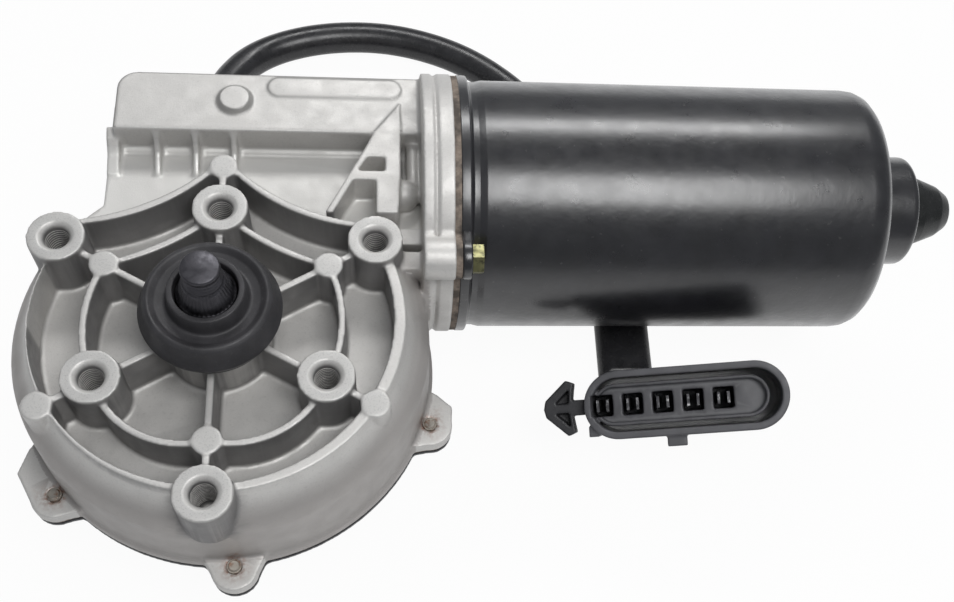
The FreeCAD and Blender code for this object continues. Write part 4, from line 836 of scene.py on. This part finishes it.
def make_boss_threads():
    """The cut threads in the six bosses."""
    tree = Tree("boss_threads", {"Radius": 3.42 * MM, "Turns": 13.0, "Depth": 13.0 * MM,
                                 "Ridge": 0.16 * MM})
    spiral = tree.node("GeometryNodeCurveSpiral")
    spiral.inputs["Resolution"].default_value = 40
    for label, socket in (("Turns", "Rotations"), ("Radius", "Start Radius"),
                          ("Radius", "End Radius"), ("Depth", "Height")):
        tree.wire(tree.given.outputs[label], spiral.inputs[socket])
    ridge = tree.node("GeometryNodeCurvePrimitiveCircle")
    ridge.inputs["Resolution"].default_value = 4
    tree.wire(tree.given.outputs["Ridge"], ridge.inputs["Radius"])
    sweep = tree.node("GeometryNodeCurveToMesh")
    tree.wire(spiral.outputs[0], sweep.inputs[0])
    tree.wire(ridge.outputs[0], sweep.inputs[1])
    places = [(x * MM, y * MM, BOSS_BORE_LOW * MM) for x, y in boss_places()]
    mesh = tree.grown("boss_threads", places, sweep.outputs[0], "cast")
    add_piece("boss_threads", mesh, None, "housing", "cast_housing")


def make_screw_tips():
    """The tapered ends of the cover screws, one in each lug."""
    tree = Tree("screw_tips", {"Radius": 1.9 * MM, "Bevel": 1.35 * MM, "Stand": 1.1 * MM})
    post = tree.node("GeometryNodeMeshCone")
    post.inputs["Vertices"].default_value = 28
    for label, socket in (("Bevel", "Radius Top"), ("Radius", "Radius Bottom"), ("Stand", "Depth")):
        tree.wire(tree.given.outputs[label], post.inputs[socket])
    places = [tuple(tip - np.array((0, 0, TIP_SINK * MM))) for tip in screw_tips()]
    mesh = tree.grown("screw_tips", places, post.outputs["Mesh"], "zinc")
    add_piece("screw_tips", mesh, None, "housing", "screw_zinc")


# ---------------------------------------------------------------- connector and the rest
PLUG_AT = np.array((135.9, -12.1, -30.0))   # the middle of the connector's rim, in mm
PLUG_AXES = np.array(((0.9659, -0.0422, 0.2554), (-0.0631, 0.9186, 0.3902),
                      (-0.2511, -0.3930, 0.8846)))  # along its row, across it and out of it


def make_connector():
    """The connector's shell, clip, back and sleeve; gives all the pieces at the cable's end."""
    shell = softened("plug_housing", 0.32 * MM, 0.5 * MM, 1, 16, budget=120000)
    along, across, out = ((read(shell.vertices, "co", 3) / MM - PLUG_AT) @ PLUG_AXES.T).T
    # painted light in the channel round the insert, stronger further in
    moat_light = (abs(across) < 8.9) & ((abs(across) > 4.3) | (along > 15.5))
    paint_attribute(shell, "deep", moat_light * np.clip((-out - 6) / 11, 0, 1))
    clip = softened("plug_clip", 0.28 * MM, 0.5 * MM, 2, 16, budget=30000)
    rear = softened("plug_rear", 0.45 * MM, 1.2 * MM, 3, 20, budget=40000)
    sleeve = softened("cable_sleeve", 0.5 * MM, 1.0 * MM, 3, budget=20000)
    pieces = []
    for name, mesh, finish, slot, node in (
            ("plug_shell", shell, "plug", "plug_plastic", "plug_housing"),
            ("plug_arrow", clip, "clip", "plug_plastic", "plug_clip"),
            ("plug_back", rear, "plug", "plug_plastic", "plug_rear"),
            ("sleeve_wrap", sleeve, "jacket", "cable_jacket", "cable_sleeve")):
        pieces.append(add_piece(name, mesh, finish, "housing", slot, node))
    return pieces + [nodes["plug_blades"]]


def make_cover():
    """The pressed cover on the far side."""
    mesh = softened("gear_cover", 0.62 * MM, 1.5 * MM, 3, 20, budget=90000)
    add_piece("cover_pressing", mesh, "paint", "housing", "cover_steel", "gear_cover")


make_cable(make_connector())
make_casting()
make_yoke()
make_ears()
make_cap()
make_seal()
make_shaft()
make_boss_threads()
make_screw_tips()
make_cover()
